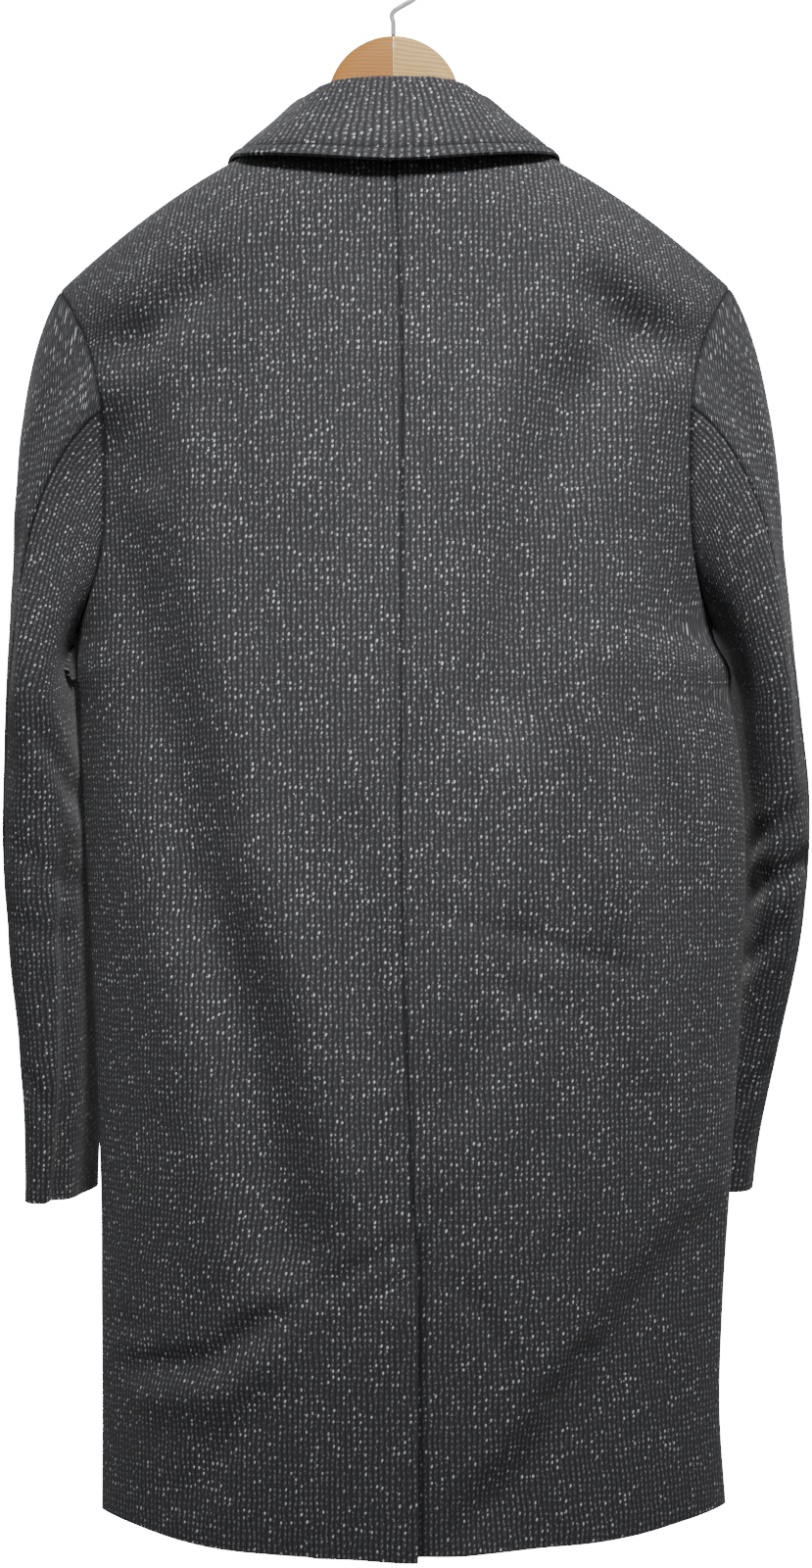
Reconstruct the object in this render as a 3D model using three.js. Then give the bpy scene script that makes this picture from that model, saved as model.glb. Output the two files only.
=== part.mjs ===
// A men's single-breasted wool overcoat with a notched collar, buttoned, hanging on a wooden hanger.
// Millimetres, +Z up. The coat's front faces -Y and the wearer's left is +X.
// The origin is the point inside the hanger's hook that rests on a rail, so the coat lies below it.
// Panels are worked out for one side, with x growing outwards, and mirrored by side: 1 is left, -1 right.
import * as THREE from "three";

// Cloth
const CLOTH = 2.5; // wool shell with its interlining
const SEAM = 0.3; // clear distance between two sewn panels
const LAYER = CLOTH + 0.6; // from the outside of one layer to the outside of the next

// Levels below the hook
const HEM_Z = -1114;
const UNDERARM_Z = -487; // the lapels break at this height too
const NECK_BACK_Z = -160;
const NECK_SIDE_Z = -138;
const VENT_Z = -893; // top of the back vent
const CUFF_Z = -893;
const CAP_END_Z = -545; // the sleeves are clear of the armholes from here down
const BUTTONS_Z = [-497, -614, -731];

// Widths
const HEM_RISE = 6; // the hem is this much higher at the side seams
const MID_Y = -5; // the plane of the shoulder and side seams
const NECK_HALF = 71;
const TIP_X = 238; // shoulder tip
const SHOULDER_SLOPE = 0.4; // at the neck
const SHOULDER_DROOP = 0.00145; // how fast the slope grows outwards, per mm
const ROUND = { back: 90, front: 110 }; // height over which each face rounds into the shoulder
const SIDE_POWER = 0.8; // how sharply the sections turn at the sides
const ARMHOLE_MID = 202; // half the width across the back
const OVERLAP = 25; // each front edge passes the centre line by this
const UNDERLAP = 38; // the vent's hidden extension
const VENT_LAP = 3; // the vent's visible edge passes the seam by this
const VENT_OPENS = 30; // height over which the vent opens to its full lap

// Lapel and collar outline, seen from the front
const GORGE = { x: 50, z: -214 }; // where collar and lapel meet on the roll line
const NOTCH = { x: 108, z: -225 };
const LAPEL_TIP = { x: 148, z: -238 };
const LAPEL_START = { left: -478, right: -436 }; // the right one comes out from under the left front here
const LAPEL_PUFF = 3.5; // how far a lapel's middle stands off the front
const LAPEL_EDGE_POWER = 0.8; // how much its outer edge bows
const LAPEL_CLEAR = 0.6; // least room between a lapel and its front

// Hook, hanger and buttons. The hook's ring runs between two angles, above its straight shank. The hanger
// is thin at the neck and wide at the ends of its arms; gap is its room under the cloth.
const HOOK = { inner: 22, wire: 3.6, sides: 10, shank: 17, from: -55, to: 205, step: 13, steps: 34 };
const HANGER = {
  domeZ: -67, domeR: 47, half: 212, thin: 6.5, wide: 9.5, deep: 26, neckDeep: 38, gap: 1.8,
  endRound: 13, endDeep: 0.7, corner: 0.8, around: 12,
};
const HANGER_STATIONS = [0.3, 8, 18, 29, 38, 45, 54, 68, 90, 115, 140, 165, 188, 203, HANGER.half];
const BUTTON = { radius: 14, rim: 3.2, thick: 4.2, dish: 1.1, edge: 1.2, clear: 0.5, sides: 20 };

// Armhole angles: 0 is the shoulder tip, 90 the back, 180 the underarm, 270 the front
const RING = [0, 10, 22, 38, 58, 78, 98, 118, 140, 160, 180, 200, 220, 242, 262, 282, 302, 322, 338, 350];
const BACK_SEAM = { column: 5, arm: 40 }; // sleeve seams: their place in RING, and their angle down the arm
const FRONT_SEAM = { column: 13, arm: 236 };

// Steps of the grids
const VENT_ROWS = 6;
const SKIRT_ROWS = 12;
const FRONT_ROWS = 14;
const CAP_ROWS = 7;
const ARM_ROWS = 11;
const FINE_STEPS = 160;
const EVEN_COLUMNS = { back: 11, front: 8 }; // of a body panel, past its centre
const LAPEL_GRID = { rows: 9, columns: 6 };

const COLOURS = { wool: 0x3b3b3d, wood: 0xc79a5e, metal: 0xb9bbc0, horn: 0x1d1b1a };

// Sections of the body: half widths on the wearer's left and right, depth of the back and front,
// flatness of the section, and how far the centre seam stands off x = 0
const BODY = table([
  { z: -1114, left: 215, right: 230, back: 104, front: 92, flat: 2.3, seam: -4 },
  { z: -1040, left: 214, right: 226, back: 102, front: 92, flat: 2.3, seam: -4 },
  { z: -960, left: 214, right: 229, back: 101, front: 92, flat: 2.3, seam: -3 },
  { z: -875, left: 214, right: 235, back: 100, front: 92, flat: 2.4, seam: -1 },
  { z: -735, left: 219, right: 244, back: 98, front: 92, flat: 2.5, seam: 3 },
  { z: -645, left: 223, right: 247, back: 96, front: 90, flat: 2.6, seam: 4 },
  { z: -560, left: 226, right: 241, back: 94, front: 86, flat: 2.8, seam: 4 },
  { z: -487, left: 228, right: 224, back: 92, front: 82, flat: 3.0, seam: 3 },
  { z: -400, left: 243, right: 243, back: 89, front: 76, flat: 3.0, seam: 2 },
  { z: -300, left: 252, right: 252, back: 85, front: 68, flat: 2.8, seam: 2 },
  { z: -110, left: 264, right: 264, back: 79, front: 60, flat: 2.4, seam: 2 },
]);

// Large folds of the back: a line from (x1, z1) to (x2, z2), its half width, and its depth, ridges positive
const BACK_FOLDS = [
  { x1: 176, z1: -330, x2: 128, z2: -600, width: 26, depth: -7 },
  { x1: 128, z1: -600, x2: 62, z2: -890, width: 26, depth: -9 },
  { x1: 96, z1: -640, x2: 30, z2: -880, width: 22, depth: 4 },
  { x1: -150, z1: -285, x2: -92, z2: -400, width: 24, depth: -6 },
  { x1: -92, z1: -400, x2: -52, z2: -590, width: 26, depth: -7 },
  { x1: -150, z1: -450, x2: -130, z2: -700, width: 34, depth: 5 },
  { x1: -90, z1: -700, x2: -40, z2: -820, width: 20, depth: -4 },
  { x1: -214, z1: -885, x2: -120, z2: -990, width: 17, depth: -8 },
  { x1: -150, z1: -1000, x2: -50, z2: -1110, width: 15, depth: -6 },
  { x1: 40, z1: -905, x2: 132, z2: -985, width: 15, depth: -7 },
  { x1: 45, z1: -945, x2: 150, z2: -1010, width: 18, depth: 5 },
];

// The sleeves: centre of each section, half length of its long axis, half thickness, and the turn of the
// long axis from +Y towards the outside, in degrees
const SLEEVE = {
  left: table([
    { z: -893, x: 252, y: -76, long: 65, thin: 17.5, turn: 8 },
    { z: -850, x: 250.5, y: -70, long: 65.5, thin: 20, turn: 6 },
    { z: -780, x: 251.5, y: -60, long: 66.5, thin: 23.5, turn: 3 },
    { z: -700, x: 255, y: -48, long: 68, thin: 27, turn: 1 },
    { z: -620, x: 254.5, y: -36, long: 70, thin: 28, turn: 0 },
    { z: -545, x: 253.5, y: -24, long: 75, thin: 23.5, turn: 0 },
  ]),
  right: table([
    { z: -893, x: 243, y: -110, long: 63.5, thin: 22, turn: 0 },
    { z: -850, x: 248.5, y: -103, long: 65.5, thin: 21.5, turn: -1 },
    { z: -780, x: 261.5, y: -88, long: 68.5, thin: 21.5, turn: -2 },
    { z: -700, x: 272.5, y: -64, long: 71, thin: 22, turn: -3 },
    { z: -620, x: 273, y: -44, long: 73, thin: 23.5, turn: -3 },
    { z: -545, x: 265, y: -30, long: 76, thin: 21.5, turn: -2 },
  ]),
};
const SLEEVE_FLAT = 2.4;
const CAP_FULLNESS = 0.87; // how far the sleeve head keeps its first direction
// The way that each sleeve leaves the underarm: the right one hangs closer to the body
const UNDERARM_START = { left: { out: 0.7, down: 0.2 }, right: { out: 0.4, down: 0.55 } };

// The collar's left half from the centre back round to the gorge: its base at the neck, the top of its
// fold, and the edge of its fall
const COLLAR = [
  { bx: 0, by: 65, bz: -159, fx: 0, fy: 52, fz: -119, ex: 0, ey: 86, ez: -186 },
  { bx: 38, by: 53, bz: -153, fx: 37, fy: 43, fz: -117, ex: 61, ey: 76, ez: -179 },
  { bx: 62, by: 28, bz: -142, fx: 57, fy: 25, fz: -118, ex: 102, ey: 49, ez: -168 },
  { bx: 71, by: -5, bz: -136, fx: 71, fy: -4, fz: -117, ex: 118, ey: -4, ez: -153 },
  { bx: 62, by: -36, bz: -148, fx: 72, fy: -41, fz: -136, ex: 119, ey: -41, ez: -168 },
  { bx: 50, by: -52, bz: -186, fx: 56, fy: -68, fz: -184, ex: 128, ey: -52, ez: -192 },
  { bx: 42, by: -56, bz: -209, fx: 48, fy: -76, fz: -210, ex: 108, ey: -67, ez: -221 },
];
const COLLAR_STEPS = 3; // between two rows of the table

function table(rows) {
  const sorted = [...rows].sort((a, b) => a.z - b.z);
  const names = Object.keys(sorted[0]).filter((name) => name !== "z");
  const last = sorted.length - 1;
  const slope = (i, name) => {
    const a = sorted[Math.max(i - 1, 0)];
    const b = sorted[Math.min(i + 1, last)];
    return (b[name] - a[name]) / (b.z - a.z);
  };
  return (z) => {
    const at = THREE.MathUtils.clamp(z, sorted[0].z, sorted[last].z);
    let i = 0;
    while (i < last - 1 && sorted[i + 1].z < at) i += 1;
    const [a, b] = [sorted[i], sorted[i + 1]];
    const span = b.z - a.z;
    const t = (at - a.z) / span;
    const step = t * t * (3 - 2 * t);
    const lead = span * t * (1 - t) * (1 - t);
    const trail = span * t * t * (t - 1);
    const found = {};
    for (const name of names) {
      const bend = lead * slope(i, name) + trail * slope(i + 1, name);
      found[name] = a[name] * (1 - step) + b[name] * step + bend;
    }
    return found;
  };
}

function smooth(low, high, value) {
  const t = THREE.MathUtils.clamp((value - low) / (high - low), 0, 1);
  return t * t * (3 - 2 * t);
}

function mix(a, b, t) {
  return a + (b - a) * t;
}

function sideName(side) {
  return side > 0 ? "left" : "right";
}

// Height of the shoulder line above a point x to either side
function ridgeZ(x) {
  const out = Math.abs(x) - NECK_HALF;
  return NECK_SIDE_Z - SHOULDER_SLOPE * out - (out > 0 ? SHOULDER_DROOP * out * out : 0);
}

// Height of a panel's top edge
function topEdgeZ(x) {
  if (x >= NECK_HALF) return ridgeZ(x);
  return mix(NECK_BACK_Z, NECK_SIDE_Z, Math.max(x / NECK_HALF, 0) ** 2.4);
}

function foldDepth(folds, x, z) {
  let depth = 0;
  for (const f of folds) {
    const [dx, dz] = [f.x2 - f.x1, f.z2 - f.z1];
    const length = Math.hypot(dx, dz);
    const along = ((x - f.x1) * dx + (z - f.z1) * dz) / length;
    const across = ((x - f.x1) * dz - (z - f.z1) * dx) / length;
    const fade = smooth(-30, 25, along) * smooth(-30, 25, length - along);
    depth += f.depth * fade * Math.exp(-((across / f.width) ** 2));
  }
  return depth;
}

// The body's outer surface; face is 1 on the back and -1 on the front, x grows outwards
function bodyY(side, face, x, z) {
  const s = BODY(z);
  const t = Math.min(Math.abs(x) / s[sideName(side * Math.sign(x || 1))], 1);
  const section = (1 - t ** s.flat) ** SIDE_POWER;
  const round = face > 0 ? ROUND.back : ROUND.front;
  const below = THREE.MathUtils.clamp((ridgeZ(x) - z) / round, 0, 1);
  const crown = Math.sqrt(1 - (1 - below) ** 2);
  const depth = (face > 0 ? s.back : s.front) * section * crown;
  if (face < 0) return MID_Y - depth - frontLift(side, x, z);
  return MID_Y + depth + foldDepth(BACK_FOLDS, side * x, z) * crown * (1 - t ** 8);
}

// The left front lies over the right one at the centre
function frontLift(side, x, z) {
  if (side < 0) return 0;
  return LAYER * (1 - smooth(OVERLAP + 4, OVERLAP + 35, x)) * (1 - smooth(-330, -230, z));
}

// Point on the armhole seam
function armhole(side, degrees) {
  const a = THREE.MathUtils.degToRad(degrees);
  const c = Math.cos(a);
  const z = mix(UNDERARM_Z, ridgeZ(TIP_X), (1 + c) / 2);
  const low = BODY(UNDERARM_Z)[sideName(side)];
  const top = (TIP_X - ARMHOLE_MID) * Math.max(c, 0) ** 2.2;
  const x = ARMHOLE_MID + top + (low - ARMHOLE_MID) * Math.max(-c, 0) ** 3.5;
  return new THREE.Vector3(side * x, bodyY(side, Math.sin(a) >= 0 ? 1 : -1, x, z), z);
}

// The direction in which the panels are cut at the armhole seam
function armholeMitre(side, degrees) {
  const a = THREE.MathUtils.degToRad(degrees);
  const [c, s] = [Math.cos(a), Math.sin(a)];
  const [up, down] = [Math.max(c, 0), Math.max(-c, 0)];
  return new THREE.Vector3(side * (0.68 * up + 0.2 * s * s), 0.98 * s, 0.73 * up - down).normalize();
}

// The way that the sleeve leaves the armhole seam
function sleeveStart(side, degrees) {
  const a = THREE.MathUtils.degToRad(degrees);
  const [c, s] = [Math.cos(a), Math.sin(a)];
  const [up, down] = [Math.max(c, 0), Math.max(-c, 0)];
  const under = UNDERARM_START[sideName(side)];
  const x = 0.5 * up + 0.8 * s * s + under.out * down;
  return new THREE.Vector3(side * x, 0.25 * s, -0.87 * up - 0.55 * s * s - under.down * down).normalize();
}

// The seam's point moved half a seam towards the sleeve, or towards the body
function armholeEdge(side, degrees, towards) {
  const along = armhole(side, degrees + 1).sub(armhole(side, degrees - 1));
  const across = along.cross(armholeMitre(side, degrees)).normalize();
  if (across.dot(sleeveStart(side, degrees)) < 0) across.negate();
  return armhole(side, degrees).addScaledVector(across, (towards * SEAM) / 2);
}

// Points spread evenly along a fine polyline, its two ends drawn in by the given lengths
function spread(fine, count, insetStart, insetEnd) {
  const at = [0];
  for (let i = 1; i < fine.length; i += 1) at.push(at[i - 1] + fine[i].distanceTo(fine[i - 1]));
  const total = at[at.length - 1];
  const found = [];
  let i = 0;
  for (let n = 0; n < count; n += 1) {
    const want = insetStart + ((total - insetStart - insetEnd) * n) / (count - 1);
    while (i < fine.length - 2 && at[i + 1] < want) i += 1;
    const t = (want - at[i]) / Math.max(at[i + 1] - at[i], 1e-9);
    found.push(fine[i].clone().lerp(fine[i + 1], t));
  }
  return found;
}

// Normals of a grid of points; a wrapped grid joins its last column to its first
function gridNormals(grid, outwards, wrapped = false) {
  const [rows, columns] = [grid.length, grid[0].length];
  const column = (c) => (wrapped ? (c + columns) % columns : THREE.MathUtils.clamp(c, 0, columns - 1));
  const point = (r, c) => grid[THREE.MathUtils.clamp(r, 0, rows - 1)][column(c)];
  return grid.map((row, r) =>
    row.map((p, c) => {
      const down = point(r + 1, c).clone().sub(point(r - 1, c));
      const normal = point(r, c + 1).clone().sub(point(r, c - 1)).cross(down).normalize();
      return normal.dot(outwards(p, r)) < 0 ? normal.negate() : normal;
    }),
  );
}

// A closed solid from a grid of outer points, with the cloth's thickness inwards along the normals
function clothSolid(grid, normals, thickness = CLOTH) {
  const [rows, columns] = [grid.length, grid[0].length];
  const outer = grid.flat();
  const inner = outer.map((p, i) => p.clone().addScaledVector(normals.flat()[i], -thickness));
  const id = (r, c) => r * columns + c;
  const far = outer.length;
  const faces = [];
  const quad = (a, b, c, d) => faces.push([a, b, c], [a, c, d]);
  for (let r = 0; r < rows - 1; r += 1) {
    for (let c = 0; c < columns - 1; c += 1) {
      quad(id(r, c), id(r, c + 1), id(r + 1, c + 1), id(r + 1, c));
      quad(far + id(r + 1, c), far + id(r + 1, c + 1), far + id(r, c + 1), far + id(r, c));
    }
    quad(id(r + 1, 0), far + id(r + 1, 0), far + id(r, 0), id(r, 0));
    quad(id(r + 1, columns - 1), id(r, columns - 1), far + id(r, columns - 1), far + id(r + 1, columns - 1));
  }
  for (let c = 0; c < columns - 1; c += 1) {
    quad(id(0, c), far + id(0, c), far + id(0, c + 1), id(0, c + 1));
    quad(id(rows - 1, c + 1), far + id(rows - 1, c + 1), far + id(rows - 1, c), id(rows - 1, c));
  }
  return closedGeometry([...outer, ...inner], faces);
}

// A geometry from points and triangles, turned to face outwards
function closedGeometry(points, faces) {
  let volume = 0;
  for (const [a, b, c] of faces) volume += points[a].dot(points[b].clone().cross(points[c]));
  const turned = volume < 0 ? faces.map(([a, b, c]) => [a, c, b]) : faces;
  const geometry = new THREE.BufferGeometry();
  geometry.setAttribute("position", new THREE.Float32BufferAttribute(points.flatMap((p) => p.toArray()), 3));
  geometry.setIndex(turned.flat());
  geometry.computeVertexNormals();
  return geometry;
}

// The rows of a body panel, from the hem up: heights in the skirt, then angles on the armhole
function panelLevels(face) {
  const levels = [];
  const heights = face > 0 ? [VENT_Z, UNDERARM_Z] : [UNDERARM_Z];
  const steps = face > 0 ? [VENT_ROWS, SKIRT_ROWS] : [FRONT_ROWS];
  let from = HEM_Z;
  heights.forEach((to, part) => {
    for (let i = 0; i < steps[part]; i += 1) levels.push({ up: 0, z: mix(from, to, i / steps[part]) });
    from = to;
  });
  levels.push({ up: 0, z: UNDERARM_Z });
  const angles = RING.filter((degrees) => degrees < 180).reverse();
  for (const degrees of angles) {
    levels.push({ up: (1 + Math.cos(THREE.MathUtils.degToRad(degrees))) / 2, degrees: face * degrees });
  }
  return levels;
}

// Where a row starts, at the centre seam or at the front edge
function innerEnd(side, face, level) {
  const z = level.z ?? mix(UNDERARM_Z, face > 0 ? NECK_BACK_Z : NECK_SIDE_Z, level.up);
  if (face < 0) return { x: mix(-OVERLAP, NECK_HALF, level.up), z };
  const open = THREE.MathUtils.clamp((VENT_Z - z) / VENT_OPENS, 0, 1);
  const lap = side > 0 ? VENT_LAP : UNDERLAP;
  return { x: side * BODY(z).seam - lap * open + SEAM / 2, z };
}

// How deep the vent's underlap is sunk below the panel that covers it
function ventSink(side, x, z) {
  if (side > 0) return 0;
  const fromSeam = x - side * BODY(z).seam;
  return LAYER * smooth(VENT_Z + VENT_OPENS, VENT_Z + 1, z) * (1 - smooth(10, 40, fromSeam));
}

// One row of a body panel: a few points at set places near the centre, the rest spread evenly
function panelRow(side, face, level, evenColumns) {
  const start = innerEnd(side, face, level);
  const end = level.degrees === undefined ? null : armhole(side, level.degrees);
  const endX = end ? side * end.x : BODY(level.z)[sideName(side)];
  const endZ = end ? end.z : level.z;
  const topStart = face > 0 ? 0 : NECK_HALF;
  const zAt = (x) => {
    const share = (x - start.x) / (endX - start.x);
    const topX = mix(topStart, TIP_X, share);
    const bend = topEdgeZ(topX) - mix(topEdgeZ(topStart), ridgeZ(TIP_X), share);
    const rise = HEM_RISE * smooth(0.6, 1, share) * smooth(HEM_Z + 60, HEM_Z, level.z ?? 0);
    return mix(start.z, endZ, share) + bend * level.up ** 2 + rise;
  };
  const pointAt = (x) => {
    const z = zAt(x);
    return new THREE.Vector3(side * x, bodyY(side, face, x, z) - (face > 0 ? ventSink(side, x, z) : 0), z);
  };
  const seam = side * BODY(start.z).seam;
  const setX = face > 0 ? [start.x, seam + 10, seam + 40] : [0, 25, 54, 85].map((step) => start.x + step);
  const flat = BODY(endZ).flat;
  const half = Math.max(BODY(endZ)[sideName(side)], endX);
  const angleOf = (x) => Math.asin(Math.min(x / half, 1) ** (flat / 2));
  const fine = [];
  for (let i = 0; i <= FINE_STEPS; i += 1) {
    const angle = mix(angleOf(setX[setX.length - 1]), angleOf(endX), i / FINE_STEPS);
    fine.push(pointAt(half * Math.sin(angle) ** (2 / flat)));
  }
  if (end) fine[FINE_STEPS] = armholeEdge(side, level.degrees, -1);
  const row = setX.slice(0, -1).map(pointAt).concat(spread(fine, evenColumns, 0, end ? 0 : SEAM / 2));
  const limit = MID_Y + (face * SEAM) / 2;
  for (const p of row) p.y = face > 0 ? Math.max(p.y, limit) : Math.min(p.y, limit);
  return row;
}

// One panel of the body, from its centre edge to the side seam and armhole
function bodyPanel(side, face) {
  const levels = panelLevels(face);
  const grid = levels.map((level) => panelRow(side, face, level, EVEN_COLUMNS[face > 0 ? "back" : "front"]));
  const normals = gridNormals(grid, (p) => new THREE.Vector3(0.3 * p.x, face * 60, p.z > -260 ? 40 : 0));
  const last = grid[0].length - 1;
  const top = grid.length - 1;
  levels.forEach((level, r) => {
    normals[r][0].setX(face > 0 ? 0 : normals[r][0].x).normalize();
    normals[r][last] = new THREE.Vector3(side, 0, 0);
    if (level.degrees !== undefined) normals[r][last] = armholeMitre(side, level.degrees);
    if (level.z === UNDERARM_Z) normals[r][last] = new THREE.Vector3(side, 0, -1).normalize();
  });
  for (let c = 0; c < last; c += 1) {
    if (Math.abs(grid[top][c].x) >= NECK_HALF - 1) normals[top][c].setY(0).normalize();
  }
  return clothSolid(grid, normals);
}

// A point of a sleeve's flattened section at height z
function sleeveSection(side, degrees, z) {
  const s = SLEEVE[sideName(side)](z);
  const a = THREE.MathUtils.degToRad(degrees);
  const turn = THREE.MathUtils.degToRad(s.turn);
  const power = 2 / SLEEVE_FLAT;
  const out = s.thin * Math.sign(Math.cos(a)) * Math.abs(Math.cos(a)) ** power;
  const back = s.long * Math.sign(Math.sin(a)) * Math.abs(Math.sin(a)) ** power;
  const x = s.x + out * Math.cos(turn) + back * Math.sin(turn);
  return new THREE.Vector3(side * x, s.y - out * Math.sin(turn) + back * Math.cos(turn), z);
}

// The sleeve's cap: a curve from the armhole seam to the first section
function capPoint(side, holeDegrees, armDegrees, t) {
  const from = armholeEdge(side, holeDegrees, 1);
  const to = sleeveSection(side, armDegrees, CAP_END_Z);
  const away = sleeveSection(side, armDegrees, CAP_END_Z - 20).sub(to).normalize();
  const reach = from.distanceTo(to);
  const [t2, t3] = [t * t, t * t * t];
  return from
    .multiplyScalar(2 * t3 - 3 * t2 + 1)
    .addScaledVector(sleeveStart(side, holeDegrees), reach * CAP_FULLNESS * (t3 - 2 * t2 + t))
    .addScaledVector(to, 3 * t2 - 2 * t3)
    .addScaledVector(away, reach * (t3 - t2));
}

// The angle down the arm of each column of the armhole ring, between the two sleeve seams
function armAngle(column) {
  const under = FRONT_SEAM.column - BACK_SEAM.column;
  const over = RING.length - under;
  const fromBack = column - BACK_SEAM.column;
  if (fromBack >= 0 && fromBack <= under) return mix(BACK_SEAM.arm, FRONT_SEAM.arm, fromBack / under);
  const fromFront = (column - FRONT_SEAM.column + RING.length) % RING.length;
  return mix(FRONT_SEAM.arm, BACK_SEAM.arm + 360, fromFront / over);
}

function sleeveGrid(side) {
  const grid = [];
  for (let r = 0; r < CAP_ROWS; r += 1) {
    grid.push(RING.map((degrees, column) => capPoint(side, degrees, armAngle(column), r / CAP_ROWS)));
  }
  for (let r = 0; r <= ARM_ROWS; r += 1) {
    const z = mix(CAP_END_Z, CUFF_Z, r / ARM_ROWS);
    grid.push(RING.map((degrees, column) => sleeveSection(side, armAngle(column), z)));
  }
  return grid;
}

// One of a sleeve's two panels, between the given columns of its ring
function sleevePanel(side, fromColumn, toColumn) {
  const grid = sleeveGrid(side);
  const middle = (row) => row.reduce((sum, p) => sum.add(p), new THREE.Vector3()).divideScalar(row.length);
  const centres = grid.map(middle);
  const normals = gridNormals(grid, (p, r) => p.clone().sub(centres[r]), true);
  RING.forEach((degrees, c) => {
    normals[0][c] = armholeMitre(side, degrees);
  });
  const columns = [];
  for (let c = fromColumn; c <= toColumn; c += 1) columns.push(c % RING.length);
  const towards = (row, c, other) => row[other].clone().sub(row[c]).setLength(SEAM / 2).add(row[c]);
  const panel = grid.map((row) => {
    const points = columns.map((c) => row[c].clone());
    points[0] = towards(row, columns[0], columns[1]);
    points[points.length - 1] = towards(row, columns[columns.length - 1], columns[columns.length - 2]);
    return points;
  });
  return clothSolid(panel, normals.map((row) => columns.map((c) => row[c])));
}

// A lapel: a softly rolled sheet on its front, from the roll line to its edge
function lapel(side) {
  const { rows, columns } = LAPEL_GRID;
  const startZ = LAPEL_START[sideName(side)];
  const above = (z, top) => (z - UNDERARM_Z) / (top - UNDERARM_Z);
  const rollX = (z) => mix(-OVERLAP, NECK_HALF, above(z, NECK_SIDE_Z));
  const edgeX = (z) => mix(-OVERLAP, LAPEL_TIP.x, above(z, LAPEL_TIP.z) ** LAPEL_EDGE_POWER);
  const straightZ = mix(GORGE.z, LAPEL_TIP.z, (NOTCH.x - GORGE.x) / (LAPEL_TIP.x - GORGE.x));
  const grid = [];
  for (let r = 0; r <= rows; r += 1) {
    const v = r / rows;
    const [inZ, outZ] = [mix(startZ, GORGE.z, v), mix(startZ, LAPEL_TIP.z, v)];
    const covered = side > 0 ? -Infinity : 2.5 - rollX(inZ);
    const inX = Math.max(rollX(inZ) - 2, covered);
    const outX = edgeX(outZ);
    const row = [];
    for (let c = 0; c <= columns; c += 1) {
      const u = c / columns;
      const x = mix(inX, outX, u);
      const z = mix(inZ, outZ, u) + v ** 3 * (NOTCH.z - straightZ) * Math.sin(Math.PI * u);
      const puff = LAPEL_PUFF * Math.sin(Math.PI * Math.min(u * 1.25, 1)) * Math.min(v * 3, 1);
      row.push(new THREE.Vector3(side * x, bodyY(side, -1, x, z) - LAYER - LAPEL_CLEAR - puff, z));
    }
    grid.push(row);
  }
  return clothSolid(grid, gridNormals(grid, () => new THREE.Vector3(0, -1, 0)));
}

// The collar: at each station its section runs from the neck up the stand, over the fold and down the fall
function collar() {
  const stations = [];
  const mirrored = [...COLLAR].reverse().map((s) => ({ ...s, bx: -s.bx, fx: -s.fx, ex: -s.ex }));
  const all = [...mirrored, ...COLLAR.slice(1)];
  const curve = (part) => {
    const points = all.map((s) => new THREE.Vector3(s[`${part}x`], s[`${part}y`], s[`${part}z`]));
    return new THREE.CatmullRomCurve3(points, false, "catmullrom", 0.5);
  };
  const [base, fold, edge] = [curve("b"), curve("f"), curve("e")];
  const steps = (all.length - 1) * COLLAR_STEPS;
  for (let i = 0; i <= steps; i += 1) {
    const [b, f, e] = [base, fold, edge].map((line) => line.getPoint(i / steps));
    const out = e.clone().sub(f).setZ(0).normalize();
    const place = (from, outwards, up) => from.clone().addScaledVector(out, outwards).setZ(from.z + up);
    const drop = Math.max(Math.min(3.2, (f.z - b.z) * 0.3), 1);
    const fall = (t, bulge) => f.clone().lerp(e, t).addScaledVector(out, bulge * Math.abs(out.y));
    stations.push([
      b,
      b.clone().lerp(place(f, -4, -drop), 0.5),
      place(f, -4, -drop),
      f,
      place(f, 5, -2),
      fall(0.4, 4),
      fall(0.72, 3),
      e,
    ]);
  }
  const centre = new THREE.Vector3(0, 10, -150);
  const normals = gridNormals(stations, () => centre);
  stations.forEach((station, r) => {
    const flip = normals[r][3].z < 0;
    normals[r].forEach((normal) => {
      if (flip) normal.negate();
    });
  });
  return clothSolid(stations, normals);
}

const coat = new THREE.Group();
const MATERIALS = {
  wool: new THREE.MeshStandardMaterial({ color: COLOURS.wool, roughness: 0.95, metalness: 0 }),
  wood: new THREE.MeshStandardMaterial({ color: COLOURS.wood, roughness: 0.45, metalness: 0 }),
  metal: new THREE.MeshStandardMaterial({ color: COLOURS.metal, roughness: 0.25, metalness: 1 }),
  horn: new THREE.MeshStandardMaterial({ color: COLOURS.horn, roughness: 0.35, metalness: 0 }),
};

function add(name, geometry, material) {
  const mesh = new THREE.Mesh(geometry, MATERIALS[material]);
  mesh.name = name;
  coat.add(mesh);
  return mesh;
}

// A button lies on the left front, square to the cloth
function button(name, z) {
  const { radius, rim, thick, dish, edge } = BUTTON;
  const profile = [
    [0, 0], [radius - edge, 0], [radius, edge], [radius, thick - edge], [radius - edge, thick],
    [radius - rim, thick], [radius - rim - edge, thick - dish], [0, thick - dish],
  ];
  const outline = profile.map(([x, y]) => new THREE.Vector2(x, y));
  const geometry = new THREE.LatheGeometry(outline, BUTTON.sides);
  const mesh = add(name, geometry, "horn");
  const span = radius;
  const at = (x, dz) => new THREE.Vector3(x, bodyY(1, -1, x, z + dz), z + dz);
  const across = at(span, 0).sub(at(-span, 0));
  const up = at(0, span).sub(at(0, -span));
  const normal = up.cross(across).normalize();
  if (normal.y > 0) normal.negate();
  mesh.position.copy(at(0, 0)).addScaledVector(normal, BUTTON.clear);
  mesh.quaternion.setFromUnitVectors(new THREE.Vector3(0, 1, 0), normal);
}

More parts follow.
